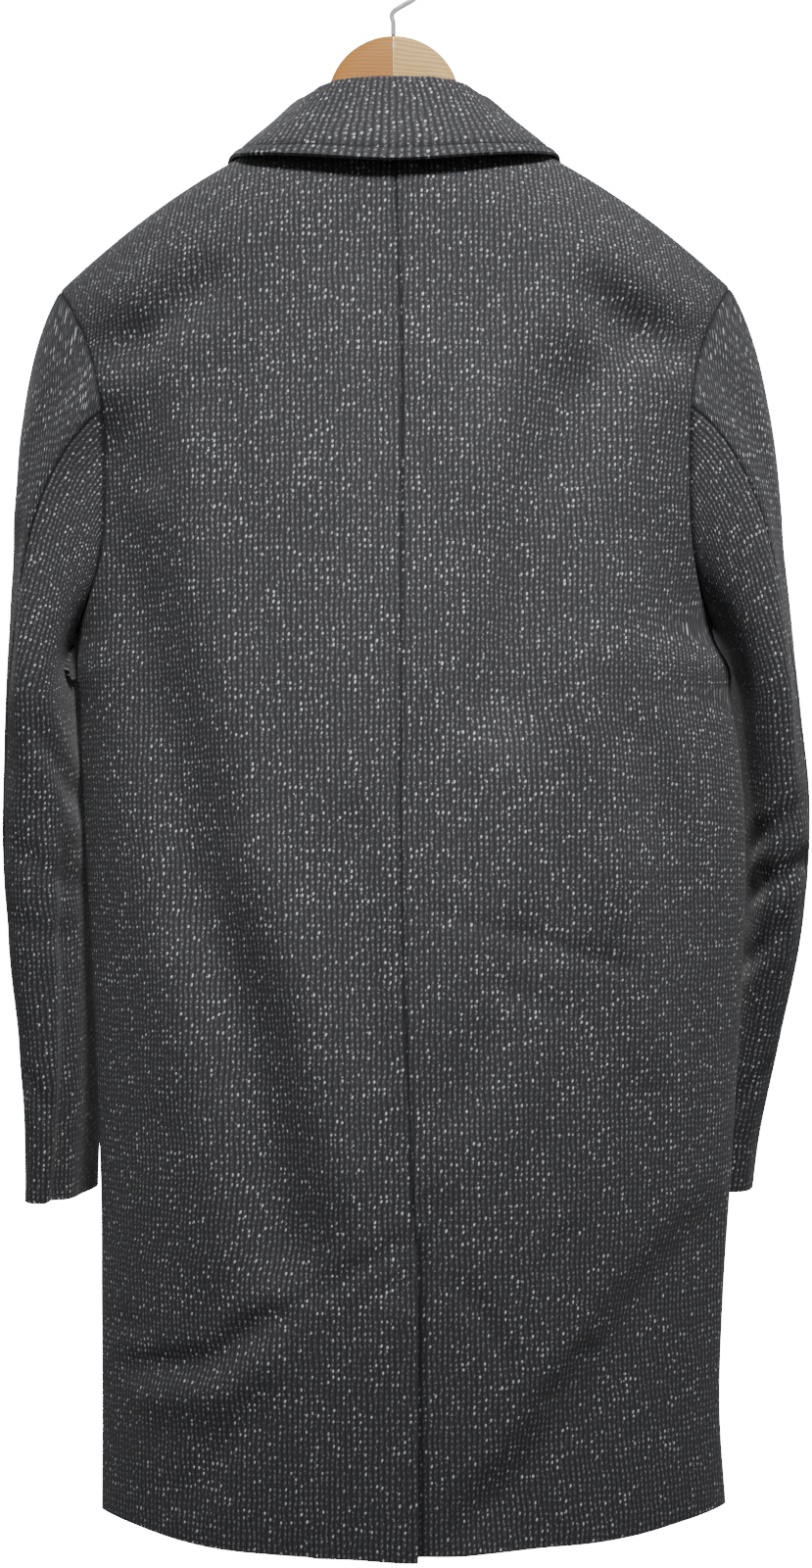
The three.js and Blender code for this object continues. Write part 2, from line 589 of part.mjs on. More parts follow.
// Half of the hanger: a dome at the neck under the hook, that runs out into an arm under the shoulder seam
function hangerHalf(side) {
  const { domeZ, domeR, around, corner } = HANGER;
  const rounded = (value) => Math.sign(value) * Math.abs(value) ** corner;
  const points = [];
  for (const x of HANGER_STATIONS) {
    const dome = x < domeR ? domeZ - domeR + Math.sqrt(domeR ** 2 - x * x) : -Infinity;
    const arm = ridgeZ(Math.max(x, 40)) - CLOTH - HANGER.gap;
    const top = Math.max(dome, arm);
    const pastArm = Math.max(x - HANGER.half + HANGER.endRound - 1, 0) / HANGER.endRound;
    const end = Math.sqrt(Math.max(1 - pastArm ** 2, 0.05));
    const half = end * mix(HANGER.thin, HANGER.wide, smooth(60, 200, x));
    const deep = mix(HANGER.neckDeep, HANGER.deep, smooth(20, 80, x)) * mix(HANGER.endDeep, 1, end);
    const bottom = Math.min(top, arm) - deep;
    const midY = mix(0, MID_Y, smooth(30, 110, x));
    for (let i = 0; i < around; i += 1) {
      const a = (2 * Math.PI * i) / around;
      const y = midY + half * rounded(Math.sin(a));
      const z = (top + bottom) / 2 + ((top - bottom) / 2) * rounded(Math.cos(a));
      points.push(new THREE.Vector3(side * x, y, z));
    }
  }
  const faces = [];
  const id = (s, i) => s * around + (i % around);
  const last = HANGER_STATIONS.length - 1;
  for (let s = 0; s < last; s += 1) {
    for (let i = 0; i < around; i += 1) {
      faces.push([id(s, i), id(s, i + 1), id(s + 1, i + 1)], [id(s, i), id(s + 1, i + 1), id(s + 1, i)]);
    }
  }
  for (let i = 1; i < around - 1; i += 1) {
    faces.push([id(0, 0), id(0, i + 1), id(0, i)], [id(last, 0), id(last, i), id(last, i + 1)]);
  }
  return closedGeometry(points, faces);
}

// The hook: a wire that rises from the hanger and bends into an open ring
function hook() {
  const radius = HOOK.inner + HOOK.wire / 2;
  const centre = -HOOK.inner;
  const at = (x, z) => new THREE.Vector3(x, 0, z);
  const points = [at(0, HANGER.domeZ + SEAM), at(0, HANGER.domeZ + HOOK.shank)];
  for (let degrees = HOOK.from; degrees <= HOOK.to; degrees += HOOK.step) {
    const a = THREE.MathUtils.degToRad(degrees);
    points.push(at(-radius * Math.cos(a), centre + radius * Math.sin(a)));
  }
  const path = new THREE.CatmullRomCurve3(points, false, "centripetal");
  const shape = new THREE.Shape();
  for (let i = 0; i < HOOK.sides; i += 1) {
    const a = (2 * Math.PI * i) / HOOK.sides;
    const [x, y] = [(HOOK.wire / 2) * Math.cos(a), (HOOK.wire / 2) * Math.sin(a)];
    if (i === 0) shape.moveTo(x, y);
    else shape.lineTo(x, y);
  }
  return new THREE.ExtrudeGeometry(shape, { steps: HOOK.steps, extrudePath: path, bevelEnabled: false });
}

for (const side of [1, -1]) {
  const name = sideName(side);
  add(`back_${name}`, bodyPanel(side, 1), "wool");
  add(`front_${name}`, bodyPanel(side, -1), "wool");
  add(`lapel_${name}`, lapel(side), "wool");
  add(`sleeve_${name}_under`, sleevePanel(side, BACK_SEAM.column, FRONT_SEAM.column), "wool");
  add(`sleeve_${name}_top`, sleevePanel(side, FRONT_SEAM.column, BACK_SEAM.column + RING.length), "wool");
  add(`hanger_${name}`, hangerHalf(side), "wood");
}
add("collar", collar(), "wool");
BUTTONS_Z.forEach((z, i) => button(`button_${i + 1}`, z));
add("hook", hook(), "metal");

export default coat;
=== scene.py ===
# A wool overcoat with a notched collar on a contoured wooden hanger, seen from behind.
# Shapes are worked out in millimetres and become metres when a mesh is made. Panels are worked out
# for one side, with x growing outwards, and mirrored by side: 1 is the wearer's left, -1 the right.
import math
import bpy
import numpy as np
from mathutils import Matrix, Vector


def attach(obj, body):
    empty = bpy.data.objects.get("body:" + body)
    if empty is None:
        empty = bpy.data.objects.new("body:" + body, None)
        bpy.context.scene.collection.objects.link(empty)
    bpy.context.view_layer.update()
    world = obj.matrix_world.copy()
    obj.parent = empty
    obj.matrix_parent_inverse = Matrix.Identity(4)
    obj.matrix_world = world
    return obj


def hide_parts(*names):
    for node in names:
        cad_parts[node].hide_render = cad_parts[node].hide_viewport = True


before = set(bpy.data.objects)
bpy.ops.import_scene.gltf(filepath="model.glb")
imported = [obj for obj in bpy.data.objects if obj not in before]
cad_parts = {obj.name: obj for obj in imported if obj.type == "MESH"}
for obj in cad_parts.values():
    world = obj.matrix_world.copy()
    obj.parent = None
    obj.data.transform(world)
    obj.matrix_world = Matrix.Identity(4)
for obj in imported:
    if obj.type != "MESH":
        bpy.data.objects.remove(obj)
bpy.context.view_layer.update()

MM = 0.001

# Cloth
CLOTH = 2.5
SEAM = 0.3
LAYER = CLOTH + 0.6  # from the outside of one layer to the outside of the next
SEAM_DIP = 0.8  # pressed seams sink by this
SEAM_DIP_WIDTH = 1.4
SEAM_SHADE_WIDTH = 1.1  # painted shade: a seam is painted darker up to about this far out
EDGE_ROUND = 0.7  # free edges bulge by this
SEAM_CLOSES = 0.16  # sewn edges bulge until they meet

# Levels below the hook
HEM_Z = -1114
UNDERARM_Z = -487
NECK_BACK_Z = -160
NECK_SIDE_Z = -138
VENT_Z = -893
CUFF_Z = -893
CAP_END_Z = -545
BUTTONS_Z = (-497, -614, -731)

# Outline of the body
HEM_RISE = 6
MID_Y = -5
NECK_HALF = 71
TIP_X = 238
SHOULDER_SLOPE = 0.4
SHOULDER_DROOP = 0.00145
ROUND_BACK = 90
ROUND_FRONT = 110
SIDE_POWER = 0.8
ARMHOLE_MID = 202
OVERLAP = 25
UNDERLAP = 38
UNDERARM_BAG = {1: 2, -1: 8}  # the cloth bags out by this below each armhole
BAG_DROP = 29  # the middle of the bag below the underarm
BAG_HEIGHT = 17
VENT_LAP = 3
VENT_OPENS = 30  # height over which the vent opens to its full lap
VENT_DROOP = 3.5  # the hem's corner at the vent hangs lower by this
VENT_SHADE = (-14, -8, 1.5, 6)  # painted shade on the underlap, from the flap's edge: it begins, is full, fades, ends
LAP_SIDE = (OVERLAP + 4, OVERLAP + 35)  # the upper front comes down to the body over these
LAP_TOP = (-330, -230)

# Lapel outline
GORGE = (50, -214)
NOTCH = (108, -225)
LAPEL_TIP = (148, -238)
LAPEL_START = {1: -478, -1: -436}
LAPEL_PUFF = 3.5
LAPEL_ROLL = 2.2
LAPEL_CLEAR = 0.6
LAPEL_BOW = 0.8

# Sleeve
RING = (0, 10, 22, 38, 58, 78, 98, 118, 140, 160, 180, 200, 220, 242, 262, 282, 302, 322, 338, 350)
BACK_SEAM = 5  # place in RING
FRONT_SEAM = 13
# How sharply the armhole turns outwards at its top and at the underarm
ARMHOLE_TOP_POWER = 2.2
ARMHOLE_LOW_POWER = 3.5
# Slant of the seam and start of the sleeve round the armhole: at its top, at its sides
MITRE_OUT = (0.68, 0.2)
MITRE_UP = 0.73
MITRE_ACROSS = 0.98
START_OUT = (0.5, 0.8)
START_DOWN = (0.87, 0.55)
START_ACROSS = 0.25
BACK_SEAM_ARM = 40  # angle down the arm
FRONT_SEAM_ARM = 236
SLEEVE_FLAT = 2.4
CAP_FULLNESS = 0.87
UNDERARM_START = {1: (0.35, 0.7), -1: (0.4, 0.6)}  # how the sleeves leave the underarm: out, down

# Hanger, hook and buttons
DOME_Z = -67
DOME_R = 47
HANGER_HALF = 212
HANGER_THIN = 6.5
HANGER_WIDE = 9.5
HANGER_DEEP = 26
HANGER_GAP = 1.8
HANGER_NECK = 12  # how much deeper the hanger is at its neck
HANGER_ARM = 200  # where the arm's round end begins
HANGER_END = 13  # length of that end
HANGER_SECTION = (0.72, 0.6)  # powers of the arm's section, across and up
HOOK_INNER = 22
HOOK_WIRE = 3.6
BUTTON_RADIUS = 14
BUTTON_CLEAR = 0.5
HOLE_ACROSS = 2.4  # the sewing holes from the middle of a button
HOLE_UP = 2.2
# Outline of a button from its back to its face: radius and height
BUTTON_PROFILE = (
    (0.01, 0.0), (11.5, 0.0), (13.2, 0.4), (14.0, 1.5), (14.0, 2.8), (13.4, 3.8),
    (12.4, 4.2), (11.2, 4.0), (10.4, 3.3), (9.6, 2.9), (0.01, 2.7),
)
BUTTONHOLE_FROM = 8.0
BUTTONHOLE_TO = 27.0
BUTTONHOLE_HALF = 1.2

# Fineness of the meshes
ROW_STEP = 5.0
COLUMN_STEP = 4.5
ARMHOLE_STEPS = 72
CAP_STEPS = 46
ARM_STEP = 4.5
RING_STEPS = 5
PANEL_COLUMNS = 64
LAPEL_GRID = (66, 34)
COLLAR_STATIONS = 150
HEM_ROWS = (0, 0.9, 2.2, 4.5)  # rows close together at a hem
HANGER_AROUND = 28
WIRE_AROUND = 16
BUTTON_AROUND = 48
HOLE_AROUND = 16
BUTTONHOLE_AROUND = 40
FLOOR_AROUND = 96

# Stitches
STITCH_INSET = 9
STITCH_PITCH = 3.6
STITCH_LENGTH = 2.6
STITCH_THICK = 0.7
STITCH_LIFT = 0.1
ALL_EDGES = ("bottom", "top", "inner", "outer")

BODY_COLUMNS = ("z", "left", "right", "back", "front", "flat", "seam")
BODY_ROWS = (
    (-1114, 215, 230, 104, 92, 2.3, -6),
    (-1040, 214, 226, 102, 92, 2.3, -6),
    (-960, 214, 229, 101, 92, 2.3, -6.5),
    (-875, 214, 235, 100, 92, 2.4, -6.5),
    (-735, 219, 244, 98, 92, 2.5, -2),
    (-645, 223, 247, 96, 90, 2.6, -0.5),
    (-560, 226, 241, 94, 86, 2.8, -1),
    (-487, 228, 224, 92, 82, 3.0, -2),
    (-400, 243, 243, 89, 76, 3.0, -3),
    (-300, 252, 252, 85, 68, 2.8, -3.5),
    (-110, 264, 264, 79, 60, 2.4, 3),
)
SLEEVE_COLUMNS = ("z", "x", "y", "long", "thin", "turn")
SLEEVE_ROWS = {
    1: (
        (-893, 252, -76, 65, 17.5, 8),
        (-850, 250.5, -70, 65.5, 20, 6),
        (-780, 251.5, -60, 66.5, 23.5, 3),
        (-700, 255, -48, 68, 27, 1),
        (-620, 254.5, -36, 70, 28, 0),
        (-545, 253.5, -24, 75, 23.5, 0),
    ),
    -1: (
        (-893, 243, -110, 63.5, 22, 0),
        (-850, 248.5, -103, 65.5, 21.5, -1),
        (-780, 261.5, -88, 68.5, 21.5, -2),
        (-700, 272.5, -64, 71, 22, -3),
        (-620, 273, -44, 73, 23.5, -3),
        (-545, 265, -30, 76, 21.5, -2),
    ),
}
# Base, fold and edge of the collar at each station, from the centre back to the gorge
COLLAR_ROWS = (
    ((0, 65, -159), (0, 52, -119), (0, 86, -186)),
    ((38, 53, -153), (37, 43, -117), (61, 76, -179)),
    ((62, 28, -142), (57, 25, -118), (102, 49, -168)),
    ((71, -5, -136), (71, -4, -117), (118, -4, -153)),
    ((62, -36, -148), (72, -41, -136), (119, -41, -168)),
    ((50, -52, -186), (56, -68, -184), (128, -52, -192)),
    ((42, -56, -209), (48, -76, -210), (108, -67, -221)),
)

# Folds pressed into the back: points of the fold's line as (x, z), its half width, and its depth
BACK_FOLDS = (
    (
        ((202, -345), (190, -425), (150, -600), (131, -686), (102, -773), (84, -880), (76, -930)),
        25, -14,
    ),
    (((96, -640), (40, -880)), 22, 4),
    (((-168, -285), (-121, -339), (-97, -408), (-84, -490), (-66, -570)), 26, -12),
    (((-150, -450), (-130, -700)), 34, 6),
    (((-84, -690), (-66, -760), (-34, -830)), 18, -4.5),
    (((-2, -906), (40, -930), (72, -950)), 6, -2),
    (((76, -952), (100, -966), (128, -990), (196, -1004)), 9, -5),
    (((84, -984), (120, -1010), (180, -1022)), 14, 4),
)
# Cloth that steps on one side of a line: its points, half width and drop
BACK_STEPS = (
    (((-224, -880), (-193, -904), (-150, -947), (-115, -999), (-71, -1051), (-30, -1096)), 17, -14),
    (((12, -940), (18, -953), (39, -1015), (50, -1061), (64, -1130)), 4, 3.0),
)
# Smaller creases that the solids leave out
BACK_CREASES = (
    (((216, -300), (165, -288), (122, -256)), 18, -8),
    (((-216, -300), (-165, -288), (-126, -262)), 18, -8),
    (((176, -290), (166, -400)), 15, -5),
    (((-21, -688), (-89, -707), (-160, -728)), 6, -1.5),
    (((-60, -735), (-120, -760)), 9, -1.5),
    (((-124, -980), (-96, -1020)), 9, -3.4),
    (((-38, -934), (-56, -960), (-70, -992)), 7, -2.6),
    (((-110, -901), (-97, -934)), 7, -2.4),
    (((204, -968), (182, -974)), 7, -3.0),
    (((120, -1040), (150, -1090)), 13, -3.4),
    (((-160, -560), (-186, -640)), 16, -3.4),
    (((150, -700), (168, -820)), 16, 3.0),
    (((-20, -300), (-60, -420)), 24, 2.6),
    (((40, -260), (70, -420)), 26, 3.0),
    (((30, -620), (10, -800)), 14, -2.6),
    (((-150, -640), (-170, -800)), 20, 4.0),
)
# Creases of the fronts, of the same form
FRONT_CREASES = (
    (((160, -330), (120, -520), (90, -700)), 26, -5),
    (((-150, -320), (-120, -500), (-96, -640)), 26, -5),
    (((150, -860), (90, -980), (60, -1060)), 22, -4.5),
    (((-170, -820), (-110, -960), (-60, -1080)), 22, -4.5),
    (((60, -560), (130, -640)), 10, -1.8),
    (((-50, -680), (-130, -760)), 10, -1.8),
    (((190, -292), (140, -276)), 10, -2.4),
    (((-190, -292), (-140, -276)), 10, -2.4),
)
# Creases of the sleeves: points as (angle round the sleeve, z), half width, depth
SLEEVE_CREASES = {
    1: (
        (((70, -640), (120, -662), (170, -668)), 9, -1.6),
        (((60, -690), (110, -704), (150, -702)), 8, -1.2),
        (((100, -560), (150, -600), (190, -612)), 12, -3.0),
        (((20, -420), (50, -520), (60, -600)), 16, -2.4),
        (((-20, -600), (20, -700)), 18, -1.8),
        (((200, -640), (240, -676), (280, -690)), 10, -2.4),
        (((60, -800), (110, -830)), 9, -1.4),
        (((140, -640), (130, -900)), 14, -5),
    ),
    -1: (
        (((40, -650), (90, -664), (150, -672)), 9, -3.4),
        (((50, -610), (100, -628), (150, -640)), 8, -2.0),
        (((80, -700), (130, -722), (170, -726)), 10, -2.2),
        (((20, -420), (50, -520), (60, -600)), 16, -2.4),
        (((-30, -560), (10, -680)), 18, -1.8),
        (((200, -640), (240, -676), (280, -690)), 10, -2.4),
        (((60, -800), (110, -830)), 9, -1.4),
    ),
}
DEGREE_MM = 1.05  # length of a degree round the sleeve

# Beside its line a fold dips the other way: share of its depth, place and width in half widths
SIDE_DIP = 0.22
SIDE_DIP_AT = 1.9
SIDE_DIP_WIDTH = 0.9
STEP_FADE = 7  # half widths over which a step fades out
RIPPLE_WAVES = 7
RIPPLE_LENGTH = 95.0
RIPPLE_LEAN = 1.6  # ripples follow each other faster across than down


# Sums and curves

def smooth(low, high, value):
    t = np.clip((value - low) / (high - low), 0, 1)
    return t * t * (3 - 2 * t)


def mix(a, b, t):
    return a + (b - a) * t


def unit(vectors):
    return vectors / np.maximum(np.linalg.norm(vectors, axis=-1, keepdims=True), 1e-9)


def side_name(side):
    return "left" if side > 0 else "right"


def signed_power(value, power):
    return math.copysign(abs(value) ** power, value)


def circle(count):
    """Cosine and sine at even steps round a circle."""
    turns = [2 * math.pi * k / count for k in range(count)]
    return [(math.cos(a), math.sin(a)) for a in turns]


def tube_faces(rings, around):
    """The faces of a tube through rings of points, closed at both ends."""
    faces = []
    for low in range(0, (rings - 1) * around, around):
        for k in range(around):
            n = (k + 1) % around
            faces.append((low + k, low + n, low + around + n, low + around + k))
    faces.append(tuple(range(around))[::-1])
    faces.append(tuple(range((rings - 1) * around, rings * around)))
    return faces


def table(columns, rows):
    """Smooth curves through a table's rows by height; at(name, z) reads one."""
    data = np.array(sorted(rows), float)
    z = data[:, 0]
    count = len(z)
    low = np.maximum(np.arange(count) - 1, 0)
    high = np.minimum(np.arange(count) + 1, count - 1)

    def at(name, height):
        value = data[:, columns.index(name)]
        slope = (value[high] - value[low]) / (z[high] - z[low])
        height = np.clip(height, z[0], z[-1])
        i = np.clip(np.searchsorted(z, height) - 1, 0, count - 2)
        span = z[i + 1] - z[i]
        t = (height - z[i]) / span
        step = t * t * (3 - 2 * t)
        lead = span * t * (1 - t) ** 2
        trail = span * t * t * (t - 1)
        return value[i] * (1 - step) + value[i + 1] * step + lead * slope[i] + trail * slope[i + 1]

    return at


body_at = table(BODY_COLUMNS, BODY_ROWS)
sleeve_at = {side: table(SLEEVE_COLUMNS, rows) for side, rows in SLEEVE_ROWS.items()}


def half_width(side, z):
    bag = UNDERARM_BAG[side] * np.exp(-(((z - UNDERARM_Z + BAG_DROP) / BAG_HEIGHT) ** 2))
    return body_at(side_name(side), z) + bag


def ridge_z(x):
    out = np.abs(x) - NECK_HALF
    return NECK_SIDE_Z - SHOULDER_SLOPE * out - np.where(out > 0, SHOULDER_DROOP * out * out, 0)


def top_edge_z(x):
    inside = mix(NECK_BACK_Z, NECK_SIDE_Z, np.clip(x / NECK_HALF, 0, 1) ** 2.4)
    return np.where(x >= NECK_HALF, ridge_z(x), inside)


def line_distance(line, x, z):
    """Signed distance from a line of points, and how far inside its two ends each point lies."""
    best = np.full(np.shape(x), 1e9)
    signed = np.zeros(np.shape(x))
    inside = np.zeros(np.shape(x))
    lengths = [math.dist(a, b) for a, b in zip(line, line[1:])]
    before = 0
    for (a, b), length in zip(zip(line, line[1:]), lengths):
        along_x, along_z = (b[0] - a[0]) / length, (b[1] - a[1]) / length
        along = (x - a[0]) * along_x + (z - a[1]) * along_z
        across = (x - a[0]) * along_z - (z - a[1]) * along_x
        held = np.clip(along, 0, length)
        distance = np.hypot(across, along - held)
        nearer = distance < best
        best = np.where(nearer, distance, best)
        signed = np.where(nearer, np.sign(across) * distance, signed)
        inside = np.where(nearer, np.minimum(before + along, sum(lengths) - before - along), inside)
        before += length
    return signed, inside


def fold_depth(folds, x, z):
    depth = np.zeros(np.shape(x))
    for line, width, height in folds:
        signed, inside = line_distance(line, x, z)
        q = signed / width
        profile = np.exp(-q * q) - SIDE_DIP * np.exp(-(((np.abs(q) - SIDE_DIP_AT) / SIDE_DIP_WIDTH) ** 2))
        depth += height * profile * smooth(-1.1 * width, 1.1 * width, inside)
    return depth


def step_depth(steps, x, z):
    depth = np.zeros(np.shape(x))
    for line, width, drop in steps:
        signed, inside = line_distance(line, x, z)
        fade = np.exp(-((np.maximum(signed, 0) / (STEP_FADE * width)) ** 2))
        past = smooth(-width, width, signed) * fade
        depth += drop * past * smooth(-1.5 * width, 2 * width, inside)
    return depth


def ripple(x, z, seed, wave=RIPPLE_LENGTH):
    """Slight unevenness that all hanging cloth has."""
    chance = np.random.default_rng(seed)
    total = np.zeros(np.shape(x))
    for _ in range(RIPPLE_WAVES):
        angle = chance.uniform(0, 2 * math.pi)
        length = wave * chance.uniform(0.6, 1.7)
        phase = chance.uniform(0, 2 * math.pi)
        along = x * math.cos(angle) * RIPPLE_LEAN + z * math.sin(angle)
        total += np.sin(along * 2 * math.pi / length + phase)
    return total / RIPPLE_WAVES


# The body's surface

def front_lift(side, x, z):
    if side < 0:
        return np.zeros(np.shape(x))
    return LAYER * (1 - smooth(*LAP_SIDE, x)) * (1 - smooth(*LAP_TOP, z))


def body_y(side, face, x, z, folded=True):
    x, z = np.broadcast_arrays(np.asarray(x, float), np.asarray(z, float))
    half = np.where(side * x >= 0, half_width(1, z), half_width(-1, z))
    flat = body_at("flat", z)
    t = np.minimum(np.abs(x) / half, 1)
    section = (1 - t**flat) ** SIDE_POWER
    below = np.clip((ridge_z(x) - z) / (ROUND_BACK if face > 0 else ROUND_FRONT), 0, 1)
    crown = np.sqrt(1 - (1 - below) ** 2)
    depth = body_at("back" if face > 0 else "front", z) * section * crown
    loose = crown * (1 - t**8)
    across = side * x
    if face < 0:
        y = MID_Y - depth - front_lift(side, x, z)
        if folded:
            y = y - loose * (fold_depth(FRONT_CREASES, across, z) + 0.8 * ripple(across, z, 5))
        return y
    y = MID_Y + depth
    if folded:
        y = y + loose * (fold_depth(BACK_FOLDS, across, z) + fold_depth(BACK_CREASES, across, z))
        y = y + loose * (1.0 * ripple(across, z, 3) + step_depth(BACK_STEPS, across, z))
    return y


def armhole(side, degrees):
    a = math.radians(degrees)
    c = math.cos(a)
    z = mix(UNDERARM_Z, float(ridge_z(TIP_X)), (1 + c) / 2)
    low = float(half_width(side, UNDERARM_Z))
    x = ARMHOLE_MID + (TIP_X - ARMHOLE_MID) * max(c, 0) ** ARMHOLE_TOP_POWER
    x = x + (low - ARMHOLE_MID) * max(-c, 0) ** ARMHOLE_LOW_POWER
    return np.array([side * x, float(body_y(side, 1 if math.sin(a) >= 0 else -1, x, z)), z])


def armhole_mitre(side, degrees):
    a = math.radians(degrees)
    c, s = math.cos(a), math.sin(a)
    up, down = max(c, 0), max(-c, 0)
    x = side * (MITRE_OUT[0] * up + MITRE_OUT[1] * s * s)
    return unit(np.array([x, MITRE_ACROSS * s, MITRE_UP * up - down]))


def sleeve_start(side, degrees):
    a = math.radians(degrees)
    c, s = math.cos(a), math.sin(a)
    up, down = max(c, 0), max(-c, 0)
    under_out, under_down = UNDERARM_START[side]
    x = side * (START_OUT[0] * up + START_OUT[1] * s * s + under_out * down)
    z = -START_DOWN[0] * up - START_DOWN[1] * s * s - under_down * down
    return unit(np.array([x, START_ACROSS * s, z]))


def armhole_edge(side, degrees, towards):
    along = armhole(side, degrees + 1) - armhole(side, degrees - 1)
    across = unit(np.cross(along, armhole_mitre(side, degrees)))
    if across @ sleeve_start(side, degrees) < 0:
        across = -across
    return armhole(side, degrees) + across * towards * SEAM / 2


def column_places(length, last):
    """Distances along a row: even, with a few close together at each edge."""
    edge = (0, 0.6, 1.5, 3.0)
    count = max(int(round((length - 2 * edge[-1]) / COLUMN_STEP)), 4)
    middle = np.linspace(edge[-1], length - edge[-1], count + 1)
    places = np.concatenate([edge[:-1], middle, length - np.array(edge[-2::-1])])
    return mix(0, length - last, (places - places[0]) / (places[-1] - places[0]))


def panel_levels(face):
    hem = HEM_Z + np.array(HEM_ROWS)
    skirt = np.arange(HEM_Z + 9, UNDERARM_Z - ROW_STEP / 2, ROW_STEP)
    levels = [(0.0, z, None) for z in np.concatenate([hem, skirt, [UNDERARM_Z]])]
    for degrees in np.linspace(180, 0, ARMHOLE_STEPS + 1)[1:]:
        up = (1 + math.cos(math.radians(degrees))) / 2
        levels.append((up, None, face * degrees))
    return levels


def inner_end(side, face, level):
    up, z, _ = level
    if face < 0:
        height = z if z is not None else mix(UNDERARM_Z, NECK_SIDE_Z, up)
        return mix(-OVERLAP, NECK_HALF, up), height
    z = z if z is not None else mix(UNDERARM_Z, NECK_BACK_Z, up)
    seam = side * float(body_at("seam", z))
    open_share = min(max((VENT_Z - z) / VENT_OPENS, 0), 1)
    return seam - (VENT_LAP if side > 0 else UNDERLAP) * open_share + SEAM / 2, z


def vent_sink(side, x, z):
    if side > 0:
        return np.zeros(np.shape(x))
    own = side * body_at("seam", z)
    return LAYER * smooth(VENT_Z + VENT_OPENS, VENT_Z + 1, z) * (1 - smooth(10, 40, x - own))


def panel_row(side, face, level, count):
    up, height, degrees = level
    start_x, start_z = inner_end(side, face, level)
    end = None if degrees is None else armhole(side, degrees)
    end_x = float(half_width(side, height)) if end is None else side * end[0]
    end_z = height if end is None else end[2]
    top_start = 0 if face > 0 else NECK_HALF
    flat = float(body_at("flat", end_z))
    half = max(float(half_width(side, end_z)), end_x)
    first = min(max(start_x, 0) + 40, end_x * 0.8)
    angles = np.arcsin(np.minimum(np.array([first, end_x]) / half, 1) ** (flat / 2))
    rounded = half * np.sin(np.linspace(angles[0], angles[1], 200)) ** (2 / flat)
    x = np.concatenate([np.linspace(start_x, first, 60)[:-1], rounded])
    share = (x - start_x) / (end_x - start_x)
    top_x = mix(top_start, TIP_X, share)
    bend = top_edge_z(top_x) - mix(float(top_edge_z(top_start)), float(ridge_z(TIP_X)), share)
    z = mix(start_z, end_z, share) + bend * up**2
    if height is not None:
        z = z + HEM_RISE * smooth(0.6, 1, share) * smooth(HEM_Z + 60, HEM_Z, np.float64(height))
    y = body_y(side, face, x, z)
    if face > 0:
        y = y - vent_sink(side, x, z)
    fine = np.stack([side * x, y, z], axis=1)
    if end is not None:
        fine[-1] = armhole_edge(side, degrees, -1)
    steps = np.linalg.norm(np.diff(fine, axis=0), axis=1)
    at = np.concatenate([[0], np.cumsum(steps)])
    want = column_places(at[-1], 0 if end is not None else SEAM / 2)
    want = np.interp(np.linspace(0, 1, count), np.linspace(0, 1, len(want)), want)
    row = np.stack([np.interp(want, at, fine[:, k]) for k in range(3)], axis=1)
    limit = MID_Y + face * SEAM / 2
    row[:, 1] = np.maximum(row[:, 1], limit) if face > 0 else np.minimum(row[:, 1], limit)
    return row


# Grids of points

def grid_normals(grid, outwards):
    across = np.gradient(grid, axis=1)
    down = np.gradient(grid, axis=0)
    normals = unit(np.cross(across, down))
    flip = np.sum(normals * outwards, axis=-1, keepdims=True) < 0
    return np.where(flip, -normals, normals)


def cloth_uv(grid, normals, up):
    """Metres across and along the cloth at each point, with the grain running along up."""
    up = unit(up - np.sum(up * normals, axis=-1, keepdims=True) * normals)
    right = np.cross(up, normals)

    def steps(points, axis):
        step = np.diff(points, axis=axis)
        ends = [[slice(None)] * 3, [slice(None)] * 3]
        ends[0][axis] = slice(1, None)
        ends[1][axis] = slice(None, -1)
        middle = [0.5 * (field[tuple(ends[0])] + field[tuple(ends[1])]) for field in (right, up)]
        return [np.sum(step * field, axis=-1) for field in middle]

    down_u, down_v = steps(grid, 0)
    uv = np.zeros(grid.shape[:2] + (2,))
    uv[1:, 0, 0] = np.cumsum(down_u[:, 0])
    uv[1:, 0, 1] = np.cumsum(down_v[:, 0])
    across_u, across_v = steps(grid, 1)
    uv[:, 1:, 0] = uv[:, :1, 0] + np.cumsum(across_u, axis=1)
    uv[:, 1:, 1] = uv[:, :1, 1] + np.cumsum(across_v, axis=1)
    return uv * MM


def sink_edges(grid, normals, edges):
    """The chosen edges sink a little, as pressed seams do; also gives each point's painted shade, darker
    beside the seams.
    """
    rows, columns = grid.shape[:2]
    rises = np.linalg.norm(np.diff(grid[:, columns // 2], axis=0), axis=1)
    row_length = np.concatenate([[0], np.cumsum(rises)])
    steps = np.linalg.norm(np.diff(grid, axis=1), axis=2)
    across = np.concatenate([np.zeros((rows, 1)), np.cumsum(steps, axis=1)], axis=1)
    distance = {
        "inner": across,
        "outer": across[:, -1:] - across,
        "bottom": np.broadcast_to(row_length[:, None], (rows, columns)),
        "top": np.broadcast_to((row_length[-1] - row_length)[:, None], (rows, columns)),
    }
    dip = sum(np.exp(-((distance[edge] / SEAM_DIP_WIDTH) ** 2)) for edge in edges)
    shade = sum(np.exp(-((distance[edge] / SEAM_SHADE_WIDTH) ** 2)) for edge in edges)
    return grid - normals * SEAM_DIP * np.minimum(dip, 1)[..., None], np.minimum(shade, 1)


def add_object(name, data):
    made = bpy.data.objects.new(name, data)
    bpy.context.collection.objects.link(made)
    return made


